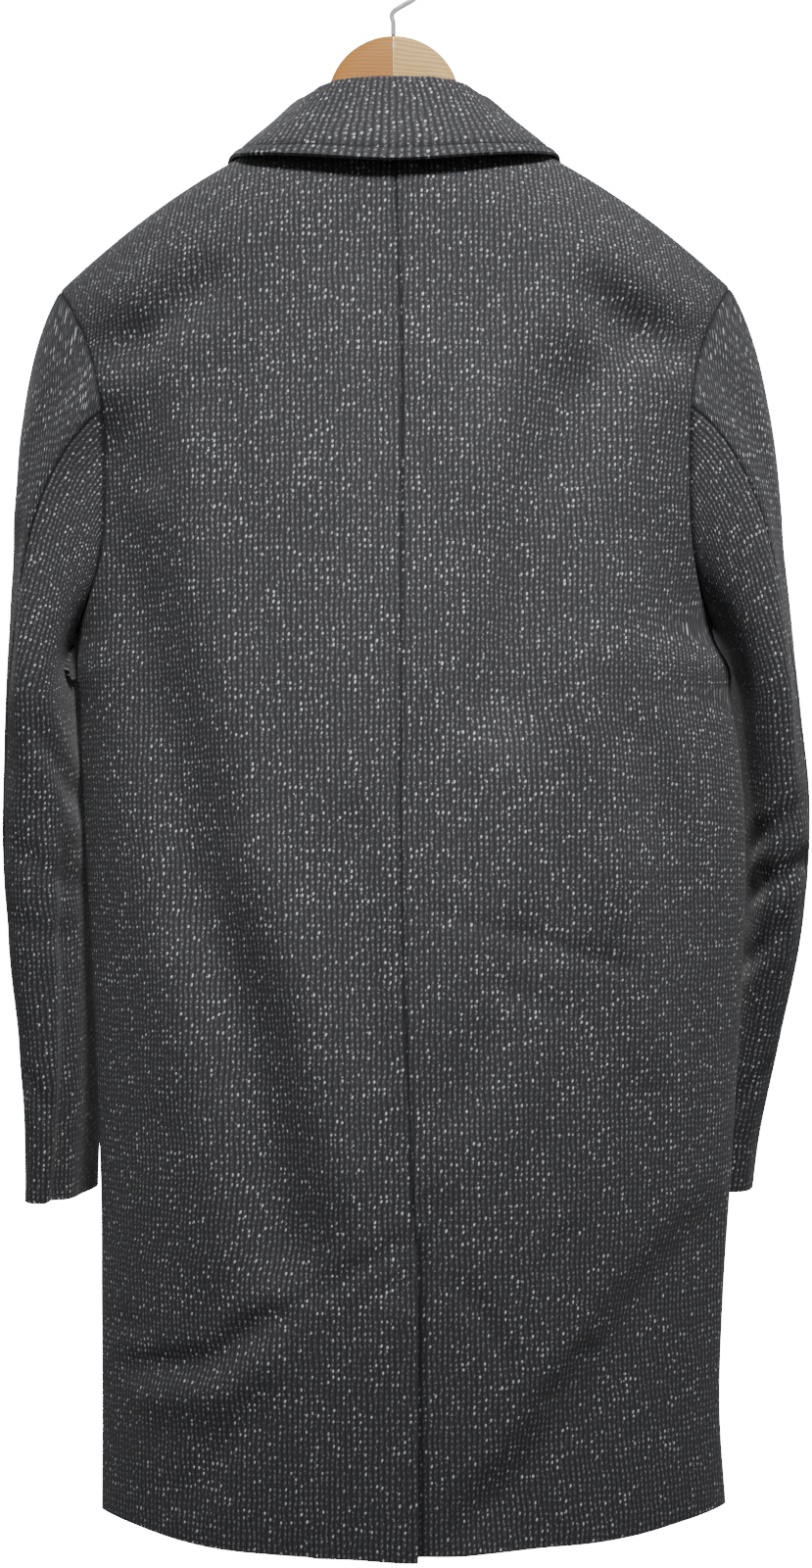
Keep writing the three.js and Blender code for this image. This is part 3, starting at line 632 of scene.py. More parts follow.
def mesh_object(name, points, faces, uv=None, shade=None, sharp=40):
    """A piece from points in millimetres, turned to face outwards."""
    points = np.asarray(points, float)
    fans = np.array([
        (face[0], face[k], face[k + 1]) for face in faces for k in range(1, len(face) - 1)
    ])
    volume = np.sum(points[fans[:, 0]] * np.cross(points[fans[:, 1]], points[fans[:, 2]]))
    if volume < 0:
        faces = [tuple(reversed(face)) for face in faces]
    mesh = bpy.data.meshes.new(name)
    mesh.from_pydata((points * MM).tolist(), [], faces)
    if uv is not None:
        layer = mesh.uv_layers.new(name="cloth")
        corners = np.empty(len(mesh.loops), np.int32)
        mesh.loops.foreach_get("vertex_index", corners)
        layer.data.foreach_set("uv", uv[corners].astype(np.float32).ravel())
    if shade is not None:
        # painted shade, read by the wool material to darken the cloth's colour
        painted_shade_layer = mesh.attributes.new("shade", "FLOAT", "POINT")
        painted_shade_layer.data.foreach_set("value", shade.astype(np.float32).ravel())
    mesh.polygons.foreach_set("use_smooth", [True] * len(mesh.polygons))
    mesh.set_sharp_from_angle(angle=math.radians(sharp))
    return add_object(name, mesh)


def cloth_piece(name, grid, normals, uv, shade, free):
    """A panel with its thickness; the free edges are rounded, the others meet a seam."""
    rows, columns = grid.shape[:2]
    count = rows * columns
    ids = np.arange(count).reshape(rows, columns)
    loop = np.concatenate([ids[0, :-1], ids[:-1, -1], ids[-1, :0:-1], ids[:0:-1, 0]])
    owner = ["bottom"] * (columns - 1) + ["outer"] * (rows - 1)
    owner += ["top"] * (columns - 1) + ["inner"] * (rows - 1)
    outer = grid.reshape(-1, 3)
    flat_normals = normals.reshape(-1, 3)
    inner = outer - flat_normals * CLOTH
    centre_in = {
        "bottom": grid[0] - grid[1], "top": grid[-1] - grid[-2],
        "inner": grid[:, 0] - grid[:, 1], "outer": grid[:, -1] - grid[:, -2],
    }
    away = np.zeros((len(loop), 3))
    for i, (vertex, edge) in enumerate(zip(loop, owner)):
        row, column = divmod(vertex, columns)
        way = centre_in[edge][column if edge in ("bottom", "top") else row]
        away[i] = unit(way) * (EDGE_ROUND if edge in free else SEAM_CLOSES)
    rim = outer[loop] - flat_normals[loop] * CLOTH / 2 + away
    squares = np.stack([ids[:-1, :-1], ids[:-1, 1:], ids[1:, 1:], ids[1:, :-1]], -1).reshape(-1, 4)
    faces = squares.tolist() + (squares[:, ::-1] + count).tolist()
    total = len(loop)
    for i in range(total):
        j = (i + 1) % total
        first, second = int(loop[i]), int(loop[j])
        faces.append((second, first, 2 * count + i, 2 * count + j))
        faces.append((2 * count + j, 2 * count + i, first + count, second + count))
    flat_uv = uv.reshape(-1, 2)
    flat_shade = shade.ravel()
    points = np.concatenate([outer, inner, rim])
    all_uv = np.concatenate([flat_uv, flat_uv, flat_uv[loop]])
    all_shade = np.concatenate([flat_shade, flat_shade, flat_shade[loop]])
    return mesh_object(name, points, faces, all_uv, all_shade)


def sheet_area(grid):
    """Area in square metres of one side of a panel."""
    first = np.cross(grid[1:, 1:] - grid[:-1, :-1], grid[1:, :-1] - grid[:-1, 1:])
    return float(np.sum(np.linalg.norm(first, axis=-1)) / 2) * MM * MM


def flat_size(uv):
    span = uv.reshape(-1, 2).max(axis=0) - uv.reshape(-1, 2).min(axis=0)
    return float(span[0]), float(span[1])


def declare(piece, node, look):
    piece.data.materials.append(materials[look])
    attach(piece, "root")
    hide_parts(node)


def declare_cloth(piece, node, grid, uv):
    declare(piece, node, "wool")
    width, length = flat_size(uv)
    area = sheet_area(grid)
    area = min(max(area, 0.3 * width * length), width * length)


# Panels

def body_panel(side, face):
    levels = panel_levels(face)
    grid = np.array([panel_row(side, face, level, PANEL_COLUMNS) for level in levels])
    lift = np.where(grid[..., 2] > -260, 40, 0)
    out = np.stack([0.3 * grid[..., 0], np.full(grid.shape[:2], 60.0 * face), lift], -1)
    normals = grid_normals(grid, out)
    top = len(levels) - 1
    for r, (_, z, degrees) in enumerate(levels):
        if face > 0:
            normals[r, 0] = unit(normals[r, 0] * (0, 1, 1))
        normals[r, -1] = (side, 0, 0) if degrees is None else armhole_mitre(side, degrees)
        if z == UNDERARM_Z:
            normals[r, -1] = unit(np.array([side, 0, -1.0]))
    seam_top = np.abs(grid[top, :-1, 0]) >= NECK_HALF - 1
    normals[top, :-1][seam_top] = unit(normals[top, :-1][seam_top] * (1, 0, 1))
    x, z = side * grid[..., 0], grid[..., 2]
    slope = (body_y(side, face, x, z + 1, False) - body_y(side, face, x, z - 1, False)) / 2
    up = np.stack([np.zeros_like(slope), np.clip(slope, -6, 6), np.ones_like(slope)], -1)
    uv = cloth_uv(grid, normals, up)
    seams = ["outer", "top", "inner"] if face > 0 else ["outer", "top"]
    grid, shade = sink_edges(grid, normals, seams)
    if face > 0:
        grid, shade = vent_edge(side, grid, shade)
    name = ("back_" if face > 0 else "front_") + side_name(side)
    free = ("bottom", "inner") if face < 0 else ("bottom",)
    piece = cloth_piece("wool_" + name, grid, normals, uv, shade, free)
    declare_cloth(piece, name, grid, uv)


def vent_edge(side, grid, shade):
    """The vent's free edge hangs a little lower; painted shade darkens the underlap that the flap covers,
    and the seam's painted shade stops where the vent opens.
    """
    z = grid[..., 2]
    from_seam = side * grid[..., 0] - side * body_at("seam", z)
    open_share = np.clip((VENT_Z - z) / VENT_OPENS, 0, 1)
    if side > 0:
        grid = grid.copy()
        grid[..., 2] -= VENT_DROOP * np.exp(-((from_seam / 30) ** 2)) * smooth(HEM_Z + 60, HEM_Z, z)
        return grid, shade * np.where(from_seam < 20, 1 - open_share, 1)
    begins, full, fades, ends = (VENT_LAP + place for place in VENT_SHADE)
    flap_painted_shade = smooth(begins, full, from_seam) * (1 - smooth(fades, ends, from_seam))
    return grid, np.maximum(shade * (1 - open_share), flap_painted_shade * smooth(0, 0.4, open_share))


def sleeve_section(side, degrees, z):
    at = sleeve_at[side]
    a = np.radians(degrees)
    turn = np.radians(at("turn", z))
    power = 2 / SLEEVE_FLAT
    out = at("thin", z) * np.sign(np.cos(a)) * np.abs(np.cos(a)) ** power
    back = at("long", z) * np.sign(np.sin(a)) * np.abs(np.sin(a)) ** power
    x = at("x", z) + out * np.cos(turn) + back * np.sin(turn)
    y = at("y", z) - out * np.sin(turn) + back * np.cos(turn)
    return np.stack([side * x, y, np.broadcast_to(z, np.shape(x))], -1)


def arm_angle(column):
    under = FRONT_SEAM - BACK_SEAM
    over = len(RING) - under
    from_back = column - BACK_SEAM
    if 0 <= from_back <= under:
        return mix(BACK_SEAM_ARM, FRONT_SEAM_ARM, from_back / under)
    from_front = (column - FRONT_SEAM) % len(RING)
    return mix(FRONT_SEAM_ARM, BACK_SEAM_ARM + 360, from_front / over)


def ring_places(first, last):
    """Fractional columns of the ring, closer together beside the two seams."""
    edge = [0, 0.06, 0.15, 0.3]
    middle = np.linspace(0, last - first, (last - first) * RING_STEPS + 1)
    middle = middle[(middle > 0.45) & (middle < last - first - 0.45)]
    places = np.concatenate([edge, middle, last - first - np.array(edge[::-1])])
    return first + places


def sleeve_panel(side, first, last, part):
    places = ring_places(first, last)
    ring = np.array(RING + (360,) + tuple(360 + d for d in RING[1:]), float)
    hole = np.interp(places, np.arange(len(ring)), ring)
    wrapped = [p if p <= FRONT_SEAM or first == BACK_SEAM else p % len(RING) for p in places]
    arm = np.unwrap(np.radians([arm_angle(p) for p in wrapped])) * 180 / math.pi
    start = np.array([armhole_edge(side, d, 1) for d in hole])
    away = np.array([sleeve_start(side, d) for d in hole])
    end = sleeve_section(side, arm, CAP_END_Z)
    below = unit(sleeve_section(side, arm, CAP_END_Z - 20) - end)
    reach = np.linalg.norm(end - start, axis=1, keepdims=True)
    cap = []
    share = np.concatenate([[0, 0.004, 0.012, 0.024], np.linspace(0.04, 1, CAP_STEPS)[:-1]])
    for t in share:
        point = start * (2 * t**3 - 3 * t**2 + 1)
        point = point + away * reach * CAP_FULLNESS * (t**3 - 2 * t**2 + t)
        cap.append(point + end * (3 * t**2 - 2 * t**3) + below * reach * (t**3 - t**2))
    cuff = CUFF_Z + np.array(HEM_ROWS[::-1])
    heights = np.concatenate([np.arange(CAP_END_Z, CUFF_Z + 6, -ARM_STEP), cuff])
    grid = np.array(cap + [sleeve_section(side, arm, z) for z in heights])
    centre = grid.mean(axis=1, keepdims=True)
    middle = sum(sleeve_section(side, a, heights)[:, None] * 0.5 for a in (90, 270))
    hole_middle = sum(armhole(side, a) * 0.5 for a in (90, 270))
    centre[-len(heights):] = middle
    cap_centre = np.array([mix(hole_middle, middle[0, 0], t) for t in share])
    centre[: len(cap)] = cap_centre[:, None]
    normals = grid_normals(grid, grid - centre)
    normals[0] = np.array([armhole_mitre(side, d) for d in hole])
    along = np.broadcast_to(arm * DEGREE_MM, grid.shape[:2])
    creases = [(tuple((a * DEGREE_MM, z) for a, z in line), width, depth)
               for line, width, depth in SLEEVE_CREASES[side]]
    turned = np.where(along > 300 * DEGREE_MM, along - 360 * DEGREE_MM, along)
    loose = smooth(0, 0.15, np.linspace(0, 1, len(grid)))[:, None]
    shift = fold_depth(creases, turned, grid[..., 2])
    shift = shift + 0.7 * ripple(turned, grid[..., 2], 11 + side, 80)
    grid = grid + normals * (loose * shift)[..., None]
    for edge, other in ((0, 1), (-1, -2)):
        grid[:, edge] += unit(grid[:, other] - grid[:, edge]) * SEAM / 2
    uv = cloth_uv(grid, normals, -np.gradient(grid, axis=0))
    grid, shade = sink_edges(grid, normals, ["inner", "outer", "bottom"])
    name = f"sleeve_{side_name(side)}_{part}"
    piece = cloth_piece("wool_" + name, grid, normals, uv, shade, ("top",))
    declare_cloth(piece, name, grid, uv)


def lapel(side):
    rows, columns = LAPEL_GRID
    v = np.concatenate([[0, 0.01, 0.025, 0.05], np.linspace(0.07, 0.97, rows), [0.985, 1]])[:, None]
    u = np.concatenate([[0, 0.01, 0.03], np.linspace(0.06, 0.95, columns), [0.975, 0.99, 1]])[None, :]

    def roll_x(z):
        return mix(-OVERLAP, NECK_HALF, (z - UNDERARM_Z) / (NECK_SIDE_Z - UNDERARM_Z))

    start = LAPEL_START[side]
    in_z, out_z = mix(start, GORGE[1], v), mix(start, LAPEL_TIP[1], v)
    in_x = roll_x(in_z) - 2
    if side < 0:
        in_x = np.maximum(in_x, 2.5 - roll_x(in_z))
    rise = (out_z - UNDERARM_Z) / (LAPEL_TIP[1] - UNDERARM_Z)
    out_x = -OVERLAP + (LAPEL_TIP[0] + OVERLAP) * rise**LAPEL_BOW
    x = mix(in_x, out_x, u)
    straight = mix(GORGE[1], LAPEL_TIP[1], (NOTCH[0] - GORGE[0]) / (LAPEL_TIP[0] - GORGE[0]))
    z = mix(in_z, out_z, u) + v**3 * (NOTCH[1] - straight) * np.sin(np.pi * u)
    puff = LAPEL_PUFF * np.sin(np.pi * np.minimum(u * 1.25, 1)) * np.minimum(v * 3, 1)
    roll = LAPEL_ROLL * np.exp(-((u * 9) ** 2))
    y = body_y(side, -1, x, z) - LAYER - LAPEL_CLEAR - puff + roll
    grid = np.stack([side * x, y, z], -1)
    normals = grid_normals(grid, np.array([0, -1.0, 0]))
    up = np.stack([np.zeros_like(x), np.zeros_like(x), np.ones_like(x)], -1)
    uv = cloth_uv(grid, normals, up)
    name = "lapel_" + side_name(side)
    piece = cloth_piece("wool_" + name, grid, normals, uv, np.zeros(grid.shape[:2]), ALL_EDGES)
    declare_cloth(piece, name, grid, uv)


def rounded_curve(points, t):
    """A Catmull-Rom curve through the points; t runs from 0 to their number less one."""
    points = np.asarray(points, float)
    padded = np.concatenate([[2 * points[0] - points[1]], points, [2 * points[-1] - points[-2]]])
    t = np.asarray(t, float)
    i = np.clip(t.astype(int), 0, len(points) - 2)
    f = (t - i)[..., None]
    p0, p1, p2, p3 = (padded[i + k] for k in range(4))
    m1, m2 = (p2 - p0) / 2, (p3 - p1) / 2
    return (
        p1 * (2 * f**3 - 3 * f**2 + 1) + m1 * (f**3 - 2 * f**2 + f)
        + p2 * (3 * f**2 - 2 * f**3) + m2 * (f**3 - f**2)
    )


def collar():
    mirror = np.array([-1, 1, 1])
    left = np.array(COLLAR_ROWS, float)
    all_rows = np.concatenate([(left * mirror)[::-1], left[1:]])
    last = len(all_rows) - 1
    middle = np.linspace(0.1, last - 0.1, COLLAR_STATIONS)
    places = np.concatenate([[0, 0.02, 0.05], middle, [last - 0.05, last - 0.02, last]])
    base, fold, edge = (rounded_curve(all_rows[:, k], places) for k in range(3))
    out = unit((edge - fold) * (1, 1, 0))
    lift = np.array([0, 0, 1.0])
    drop = np.clip((fold[:, 2] - base[:, 2]) * 0.3, 1, 3.2)[:, None]
    inside = fold - 4 * out - drop * lift
    bulge = np.abs(out[:, 1:2])
    stations = np.stack([
        base, mix(base, inside, 0.5), inside, fold, fold + 5 * out - 2 * lift,
        mix(fold, edge, 0.4) + 4 * bulge * out, mix(fold, edge, 0.72) + 3 * bulge * out, edge,
    ], axis=1)
    across = np.concatenate([np.linspace(0, 6.8, 46), [6.9, 6.96, 7]])
    grid = np.array([rounded_curve(station, across) for station in stations])
    top = int(np.argmin(np.abs(across - 3)))
    reference = np.cross(np.gradient(grid, axis=1), np.gradient(grid, axis=0))
    turn = np.where(reference[:, top, 2] < 0, -1.0, 1.0)[:, None, None]
    normals = unit(reference) * turn
    length = np.cumsum(np.linalg.norm(np.diff(grid, axis=1), axis=2), axis=1)
    length = np.concatenate([np.zeros((len(grid), 1)), length], axis=1)
    from_edge = length[:, -1:] - length
    line = np.exp(-(((from_edge - STITCH_INSET) / 1.3) ** 2))
    along = np.broadcast_to(places[:, None] * 60, from_edge.shape)
    wave = 0.5 * ripple(along, from_edge, 21, 50) * smooth(0, 20, from_edge)
    puffed = 0.5 * np.exp(-(((from_edge - STITCH_INSET / 2) / 2.5) ** 2))
    grid = grid + normals * (wave - 0.9 * line + puffed)[..., None]
    uv = cloth_uv(grid, normals, -np.gradient(grid, axis=1))
    # the topstitch groove is pressed in and also painted darker: 0.9 of its line goes in as painted shade
    piece = cloth_piece("wool_collar", grid, normals, uv, 0.9 * line, ALL_EDGES)
    declare_cloth(piece, "collar", grid, uv)
    return grid, normals, from_edge


# Shader groups and materials

def node_group(name, inputs, outputs):
    group = bpy.data.node_groups.new(name, "ShaderNodeTree")
    for label, kind, value in inputs:
        socket = group.interface.new_socket(label, in_out="INPUT", socket_type=kind)
        if value is not None:
            socket.default_value = value
    for label, kind in outputs:
        group.interface.new_socket(label, in_out="OUTPUT", socket_type=kind)
    return group, group.nodes.new("NodeGroupInput"), group.nodes.new("NodeGroupOutput")


class Wiring:
    """Short ways to add nodes to a tree and join them."""

    def __init__(self, tree):
        self.tree = tree

    def node(self, kind, settings=(), **inputs):
        made = self.tree.nodes.new(kind)
        for key, value in dict(settings).items():
            setattr(made, key, value)
        for key, value in inputs.items():
            self.feed(made, key.replace("_", " "), value)
        return made

    def feed(self, made, key, value):
        numbered = key[0] == "i" and key[1:].isdigit()
        socket = made.inputs[int(key[1:]) if numbered else key]
        if isinstance(value, bpy.types.NodeSocket):
            self.tree.links.new(value, socket)
        else:
            socket.default_value = value

    def math(self, operation, a, b=0.0, c=0.0):
        return self.node("ShaderNodeMath", {"operation": operation}, i0=a, i1=b, i2=c).outputs[0]

    def vector(self, operation, a, b=(0, 0, 0)):
        made = self.node("ShaderNodeVectorMath", {"operation": operation}, i0=a, i1=b)
        return made.outputs["Value" if operation == "LENGTH" else 0]

    def place(self):
        return self.node("ShaderNodeTexCoord").outputs["Object"]

    def noise(self, vector, scale, detail=2.0, roughness=0.5):
        return self.node(
            "ShaderNodeTexNoise", Vector=vector, Scale=scale, Detail=detail, Roughness=roughness,
        )

    def ramp(self, value, low, high, to_low=0.0, to_high=1.0):
        settings = {"interpolation_type": "SMOOTHSTEP"}
        made = self.node("ShaderNodeMapRange", settings, Value=value)
        numbers = {"From Min": low, "From Max": high, "To Min": to_low, "To Max": to_high}
        for key, number in numbers.items():
            made.inputs[key].default_value = number
        return made.outputs[0]

    def blend(self, share, a, b, mode="MIX"):
        made = self.node("ShaderNodeMix", {"data_type": "RGBA", "blend_type": mode})
        self.feed(made, "i0", share)
        self.feed(made, "i6", a)
        self.feed(made, "i7", b)
        return made.outputs[2]


def tweed_group():
    """A fine grid of slanted light flecks of random strength on a dark ground."""
    inputs = [
        ("Cloth", "NodeSocketVector", None),
        ("Pitch Across", "NodeSocketFloat", 0.00365),
        ("Pitch Along", "NodeSocketFloat", 0.00415),
        ("Slant", "NodeSocketFloat", 0.2),
        ("Ground", "NodeSocketColor", (0.028, 0.028, 0.031, 1)),
        ("Fleck", "NodeSocketColor", (0.74, 0.74, 0.76, 1)),
    ]
    outputs = [("Color", "NodeSocketColor"), ("Height", "NodeSocketFloat")]
    group, given, result = node_group("tweed", inputs, outputs)
    w = Wiring(group)
    cloth = given.outputs["Cloth"]
    across, along = given.outputs["Pitch Across"], given.outputs["Pitch Along"]
    pitch = w.node("ShaderNodeCombineXYZ", X=across, Y=along, Z=1.0)
    place = w.vector("DIVIDE", cloth, pitch.outputs[0])
    warp = w.noise(cloth, 60.0, 2.0).outputs["Color"]
    warp = w.vector("MULTIPLY", w.vector("SUBTRACT", warp, (0.5, 0.5, 0.5)), (0.9, 0.9, 0.0))
    place = w.vector("ADD", place, warp)
    cell = w.vector("FLOOR", place)
    inside = w.vector("SUBTRACT", w.vector("FRACTION", place), (0.5, 0.5, 0.0))
    solid = {"noise_dimensions": "3D"}
    chance = w.node("ShaderNodeTexWhiteNoise", solid, Vector=cell)
    elsewhere = w.vector("ADD", cell, (0.4, 0.2, 5.3))
    other = w.node("ShaderNodeTexWhiteNoise", solid, Vector=elsewhere)
    shove = w.vector("SUBTRACT", chance.outputs["Color"], (0.5, 0.5, 0.5))
    shove = w.vector("MULTIPLY", shove, (0.46, 0.5, 0.0))
    fibre = w.noise(cloth, 1300.0, 3.0, 0.65).outputs[0]
    patch = w.noise(cloth, 70.0, 2.0, 0.6).outputs[0]
    dash = fleck(w, w.vector("SUBTRACT", inside, shove), given.outputs["Slant"], 0.19, 0.27)
    spot = fleck(w, w.vector("ADD", inside, shove), -0.3, 0.12, 0.13)
    dim = w.ramp(chance.outputs["Value"], 0.0, 1.0, 0.08, 0.3)
    bright = w.ramp(chance.outputs["Value"], 0.76, 0.96)
    bright = w.math("MULTIPLY", bright, w.ramp(patch, 0.3, 0.65, 0.25, 1.2))
    strength = w.math("ADD", dim, bright)
    strength = w.math("MULTIPLY", strength, w.ramp(fibre, 0.32, 0.66, 0.35, 1.35))
    second = w.ramp(other.outputs["Value"], 0.66, 0.94)
    second = w.math("MULTIPLY", second, w.ramp(patch, 0.4, 0.7, 0.2, 0.9))
    off_middle = w.math("ABSOLUTE", w.node("ShaderNodeSeparateXYZ", Vector=inside).outputs[0])
    rib = w.math("MULTIPLY", w.ramp(off_middle, 0.46, 0.12), w.ramp(fibre, 0.35, 0.7, 0.01, 0.075))
    light = w.math("MULTIPLY_ADD", dash, strength, w.math("MULTIPLY_ADD", spot, second, rib))
    light = w.math("MINIMUM", light, 1.0)
    ground = w.blend(1.0, given.outputs["Ground"], w.ramp(fibre, 0.25, 0.75, 0.5, 1.5), "MULTIPLY")
    w.feed(result, "Color", w.blend(light, ground, given.outputs["Fleck"]))
    height = w.math("MULTIPLY_ADD", rib, 2.0, w.math("MULTIPLY", fibre, 0.5))
    height = w.math("MULTIPLY_ADD", dash, 0.6, height)
    w.feed(result, "Height", height)
    return group


def fleck(w, place, slant, half_across, half_along):
    """A soft slanted oval around the middle of its cell."""
    parts = w.node("ShaderNodeSeparateXYZ", Vector=place)
    across = w.math("SUBTRACT", parts.outputs[0], w.math("MULTIPLY", parts.outputs[1], slant))
    reach = w.node(
        "ShaderNodeCombineXYZ",
        X=w.math("DIVIDE", across, half_across), Y=w.math("DIVIDE", parts.outputs[1], half_along),
    )
    return w.ramp(w.vector("LENGTH", reach.outputs[0]), 1.3, 0.4)


def material(name, color, roughness, metallic=0.0, specular=0.5):
    made = bpy.data.materials.new(name)
    made.use_nodes = True
    made.diffuse_color = (*color, 1)
    w = Wiring(made.node_tree)
    shader = made.node_tree.nodes["Principled BSDF"]
    w.feed(shader, "Base Color", (*color, 1))
    w.feed(shader, "Roughness", roughness)
    w.feed(shader, "Metallic", metallic)
    w.feed(shader, "Specular IOR Level", specular)
    return made, w, shader


def bump(w, shader, height, distance, strength=1.0):
    made = w.node("ShaderNodeBump", Height=height, Distance=distance, Strength=strength)
    w.feed(shader, "Normal", made.outputs[0])


def wool_material():
    made, w, shader = material("charcoal_tweed", (0.09, 0.09, 0.095), 0.95, specular=0.15)
    place = w.node("ShaderNodeUVMap", {"uv_map": "cloth"}).outputs[0]
    weave = w.node("ShaderNodeGroup", {"node_tree": tweed_group()}, Cloth=place)
    # painted shade: the shade attribute blends the weave towards near black at seams, under the vent's
    # flap and along the collar's topstitch
    seam = w.node("ShaderNodeAttribute", {"attribute_name": "shade"}).outputs["Fac"]
    shaded = w.blend(w.math("MULTIPLY", seam, 0.8), weave.outputs["Color"], (0.004, 0.004, 0.005, 1))
    w.feed(shader, "Base Color", shaded)
    w.feed(shader, "Sheen Weight", 0.1)
    w.feed(shader, "Sheen Roughness", 0.5)
    bump(w, shader, weave.outputs["Height"], 0.0005, 0.8)
    return made


def thread_material():
    made, w, shader = material("charcoal_thread", (0.03, 0.03, 0.032), 0.7, specular=0.3)
    place = w.place()
    twist = w.noise(place, 2500.0, 1.0).outputs[0]
    w.feed(shader, "Roughness", w.ramp(twist, 0.3, 0.7, 0.5, 0.9))
    return made


def horn_material():
    made, w, shader = material("dark_horn", (0.02, 0.016, 0.014), 0.3)
    place = w.place()
    cloud = w.noise(w.vector("MULTIPLY", place, (1, 1, 3)), 160.0, 4.0, 0.6).outputs[0]
    color = w.blend(w.ramp(cloud, 0.35, 0.75), (0.012, 0.01, 0.009, 1), (0.07, 0.05, 0.038, 1))
    w.feed(shader, "Base Color", color)
    w.feed(shader, "Roughness", w.ramp(cloud, 0.2, 0.8, 0.22, 0.4))
    return made


def wood_material(name, light, dark, lean):
    """Lacquered wood whose grain runs along the arm, at a slight lean."""
    made, w, shader = material(name, light[:3], 0.5, specular=0.15)
    place = w.place()
    turned = w.node("ShaderNodeMapping", Vector=place, Rotation=(0, lean, 0), Scale=(0.22, 1.0, 1.6))
    drift = w.vector("MULTIPLY", w.noise(place, 14.0).outputs["Color"], (0.012, 0.012, 0.012))
    bent = w.vector("ADD", turned.outputs[0], drift)
    bands = {"wave_type": "BANDS", "bands_direction": "Z"}
    rings = w.node("ShaderNodeTexWave", bands, Vector=bent, Scale=75.0, Distortion=3.0, Detail=3.0)
    pores = w.noise(w.vector("MULTIPLY", turned.outputs[0], (0.4, 1, 6)), 420.0, 3.0, 0.7).outputs[0]
    dark_pores = w.math("MULTIPLY", w.ramp(pores, 0.45, 0.7), 0.35)
    share = w.math("MULTIPLY_ADD", rings.outputs["Fac"], 0.45, dark_pores)
    w.feed(shader, "Base Color", w.blend(share, light, dark))
    bump(w, shader, pores, 0.0001, 0.4)
    return made


def chrome_material():
    made, w, shader = material("chrome_wire", (0.62, 0.63, 0.65), 0.14, metallic=1.0)
    place = w.place()
    drawn = w.noise(w.vector("MULTIPLY", place, (1, 1, 0.1)), 900.0, 2.0).outputs[0]
    w.feed(shader, "Roughness", w.ramp(drawn, 0.3, 0.7, 0.1, 0.26))
    return made


materials = {
    "wool": wool_material(),
    "thread": thread_material(),
    "horn": horn_material(),
    # one beech in two copies: the left half's is painted darker as shade, the right half's painted
    # lighter as lit
    "wood_left": wood_material("beech_left", (0.6, 0.27, 0.06, 1), (0.4, 0.15, 0.03, 1), 0.15),
    "wood_right": wood_material("beech_right", (0.9, 0.6, 0.22, 1), (0.4, 0.18, 0.05, 1), 0.7),
    "chrome": chrome_material(),
}


# Stitches

def stitch_tree():
    """Short threads laid end to end along a path."""
    tree = bpy.data.node_groups.new("stitch_row", "GeometryNodeTree")
    face = tree.interface
    face.new_socket("Geometry", in_out="INPUT", socket_type="NodeSocketGeometry")
    for label in ("Pitch", "Length", "Thickness"):
        face.new_socket(label, in_out="INPUT", socket_type="NodeSocketFloat")
    face.new_socket("Thread", in_out="INPUT", socket_type="NodeSocketMaterial")
    face.new_socket("Geometry", in_out="OUTPUT", socket_type="NodeSocketGeometry")
    w = Wiring(tree)
    given = tree.nodes.new("NodeGroupInput")
    result = tree.nodes.new("NodeGroupOutput")
    path = w.node("GeometryNodeMeshToCurve", Mesh=given.outputs["Geometry"])
    even = w.node("GeometryNodeResampleCurve", Curve=path.outputs[0])
    even.mode = "LENGTH"
    w.feed(even, "Length", given.outputs["Pitch"])
    tangent = w.node("GeometryNodeInputTangent").outputs[0]
    turn = w.node("FunctionNodeAlignRotationToVector", {"axis": "Z"}, Vector=tangent)
    thread = w.node("GeometryNodeMeshUVSphere", Segments=6, Rings=4, Radius=0.5)
    size = w.node(
        "ShaderNodeCombineXYZ",
        X=given.outputs["Thickness"], Y=given.outputs["Thickness"], Z=given.outputs["Length"],
    )
    laid = w.node(
        "GeometryNodeInstanceOnPoints",
        Points=even.outputs[0], Instance=thread.outputs["Mesh"],
        Rotation=turn.outputs[0], Scale=size.outputs[0],
    )
    real = w.node("GeometryNodeRealizeInstances", Geometry=laid.outputs[0])
    done = w.node("GeometryNodeSetMaterial", Geometry=real.outputs[0], Material=given.outputs["Thread"])
    w.feed(result, "i0", done.outputs[0])
    return tree


def stitch_row(name, tree, paths, pitch=STITCH_PITCH, length=STITCH_LENGTH, thick=STITCH_THICK):
    """Stitches along each path, a list of points in millimetres."""
    points, edges = [], []
    for path in paths:
        first = len(points)
        points += [tuple(p * MM) for p in np.asarray(path, float)]
        edges += [(i, i + 1) for i in range(first, len(points) - 1)]
    mesh = bpy.data.meshes.new(name + "_path")
    mesh.from_pydata(points, edges, [])
    guide = add_object(name + "_path", mesh)
    modifier = guide.modifiers.new("stitches", "NODES")
    modifier.node_group = tree
    values = {"Pitch": pitch * MM, "Length": length * MM, "Thickness": thick * MM}
    values["Thread"] = materials["thread"]
    for socket in tree.interface.items_tree:
        if socket.in_out == "INPUT" and socket.name in values:
            modifier[socket.identifier] = values[socket.name]
    shown = guide.evaluated_get(bpy.context.evaluated_depsgraph_get())
    made = bpy.data.meshes.new_from_object(shown)
    made.name = name
    piece = add_object(name, made)
    bpy.data.objects.remove(guide)
    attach(piece, "root")


def inset_line(grid, normals, from_edge, inset):
    """The line on a panel that lies inset from its edge."""
    line = []
    for points, normal, away in zip(grid, normals, from_edge):
        k = int(np.argmin(np.abs(away - inset)))
        line.append(points[k] + normal[k] * STITCH_LIFT)
    return line


# Hanger, hook and buttons

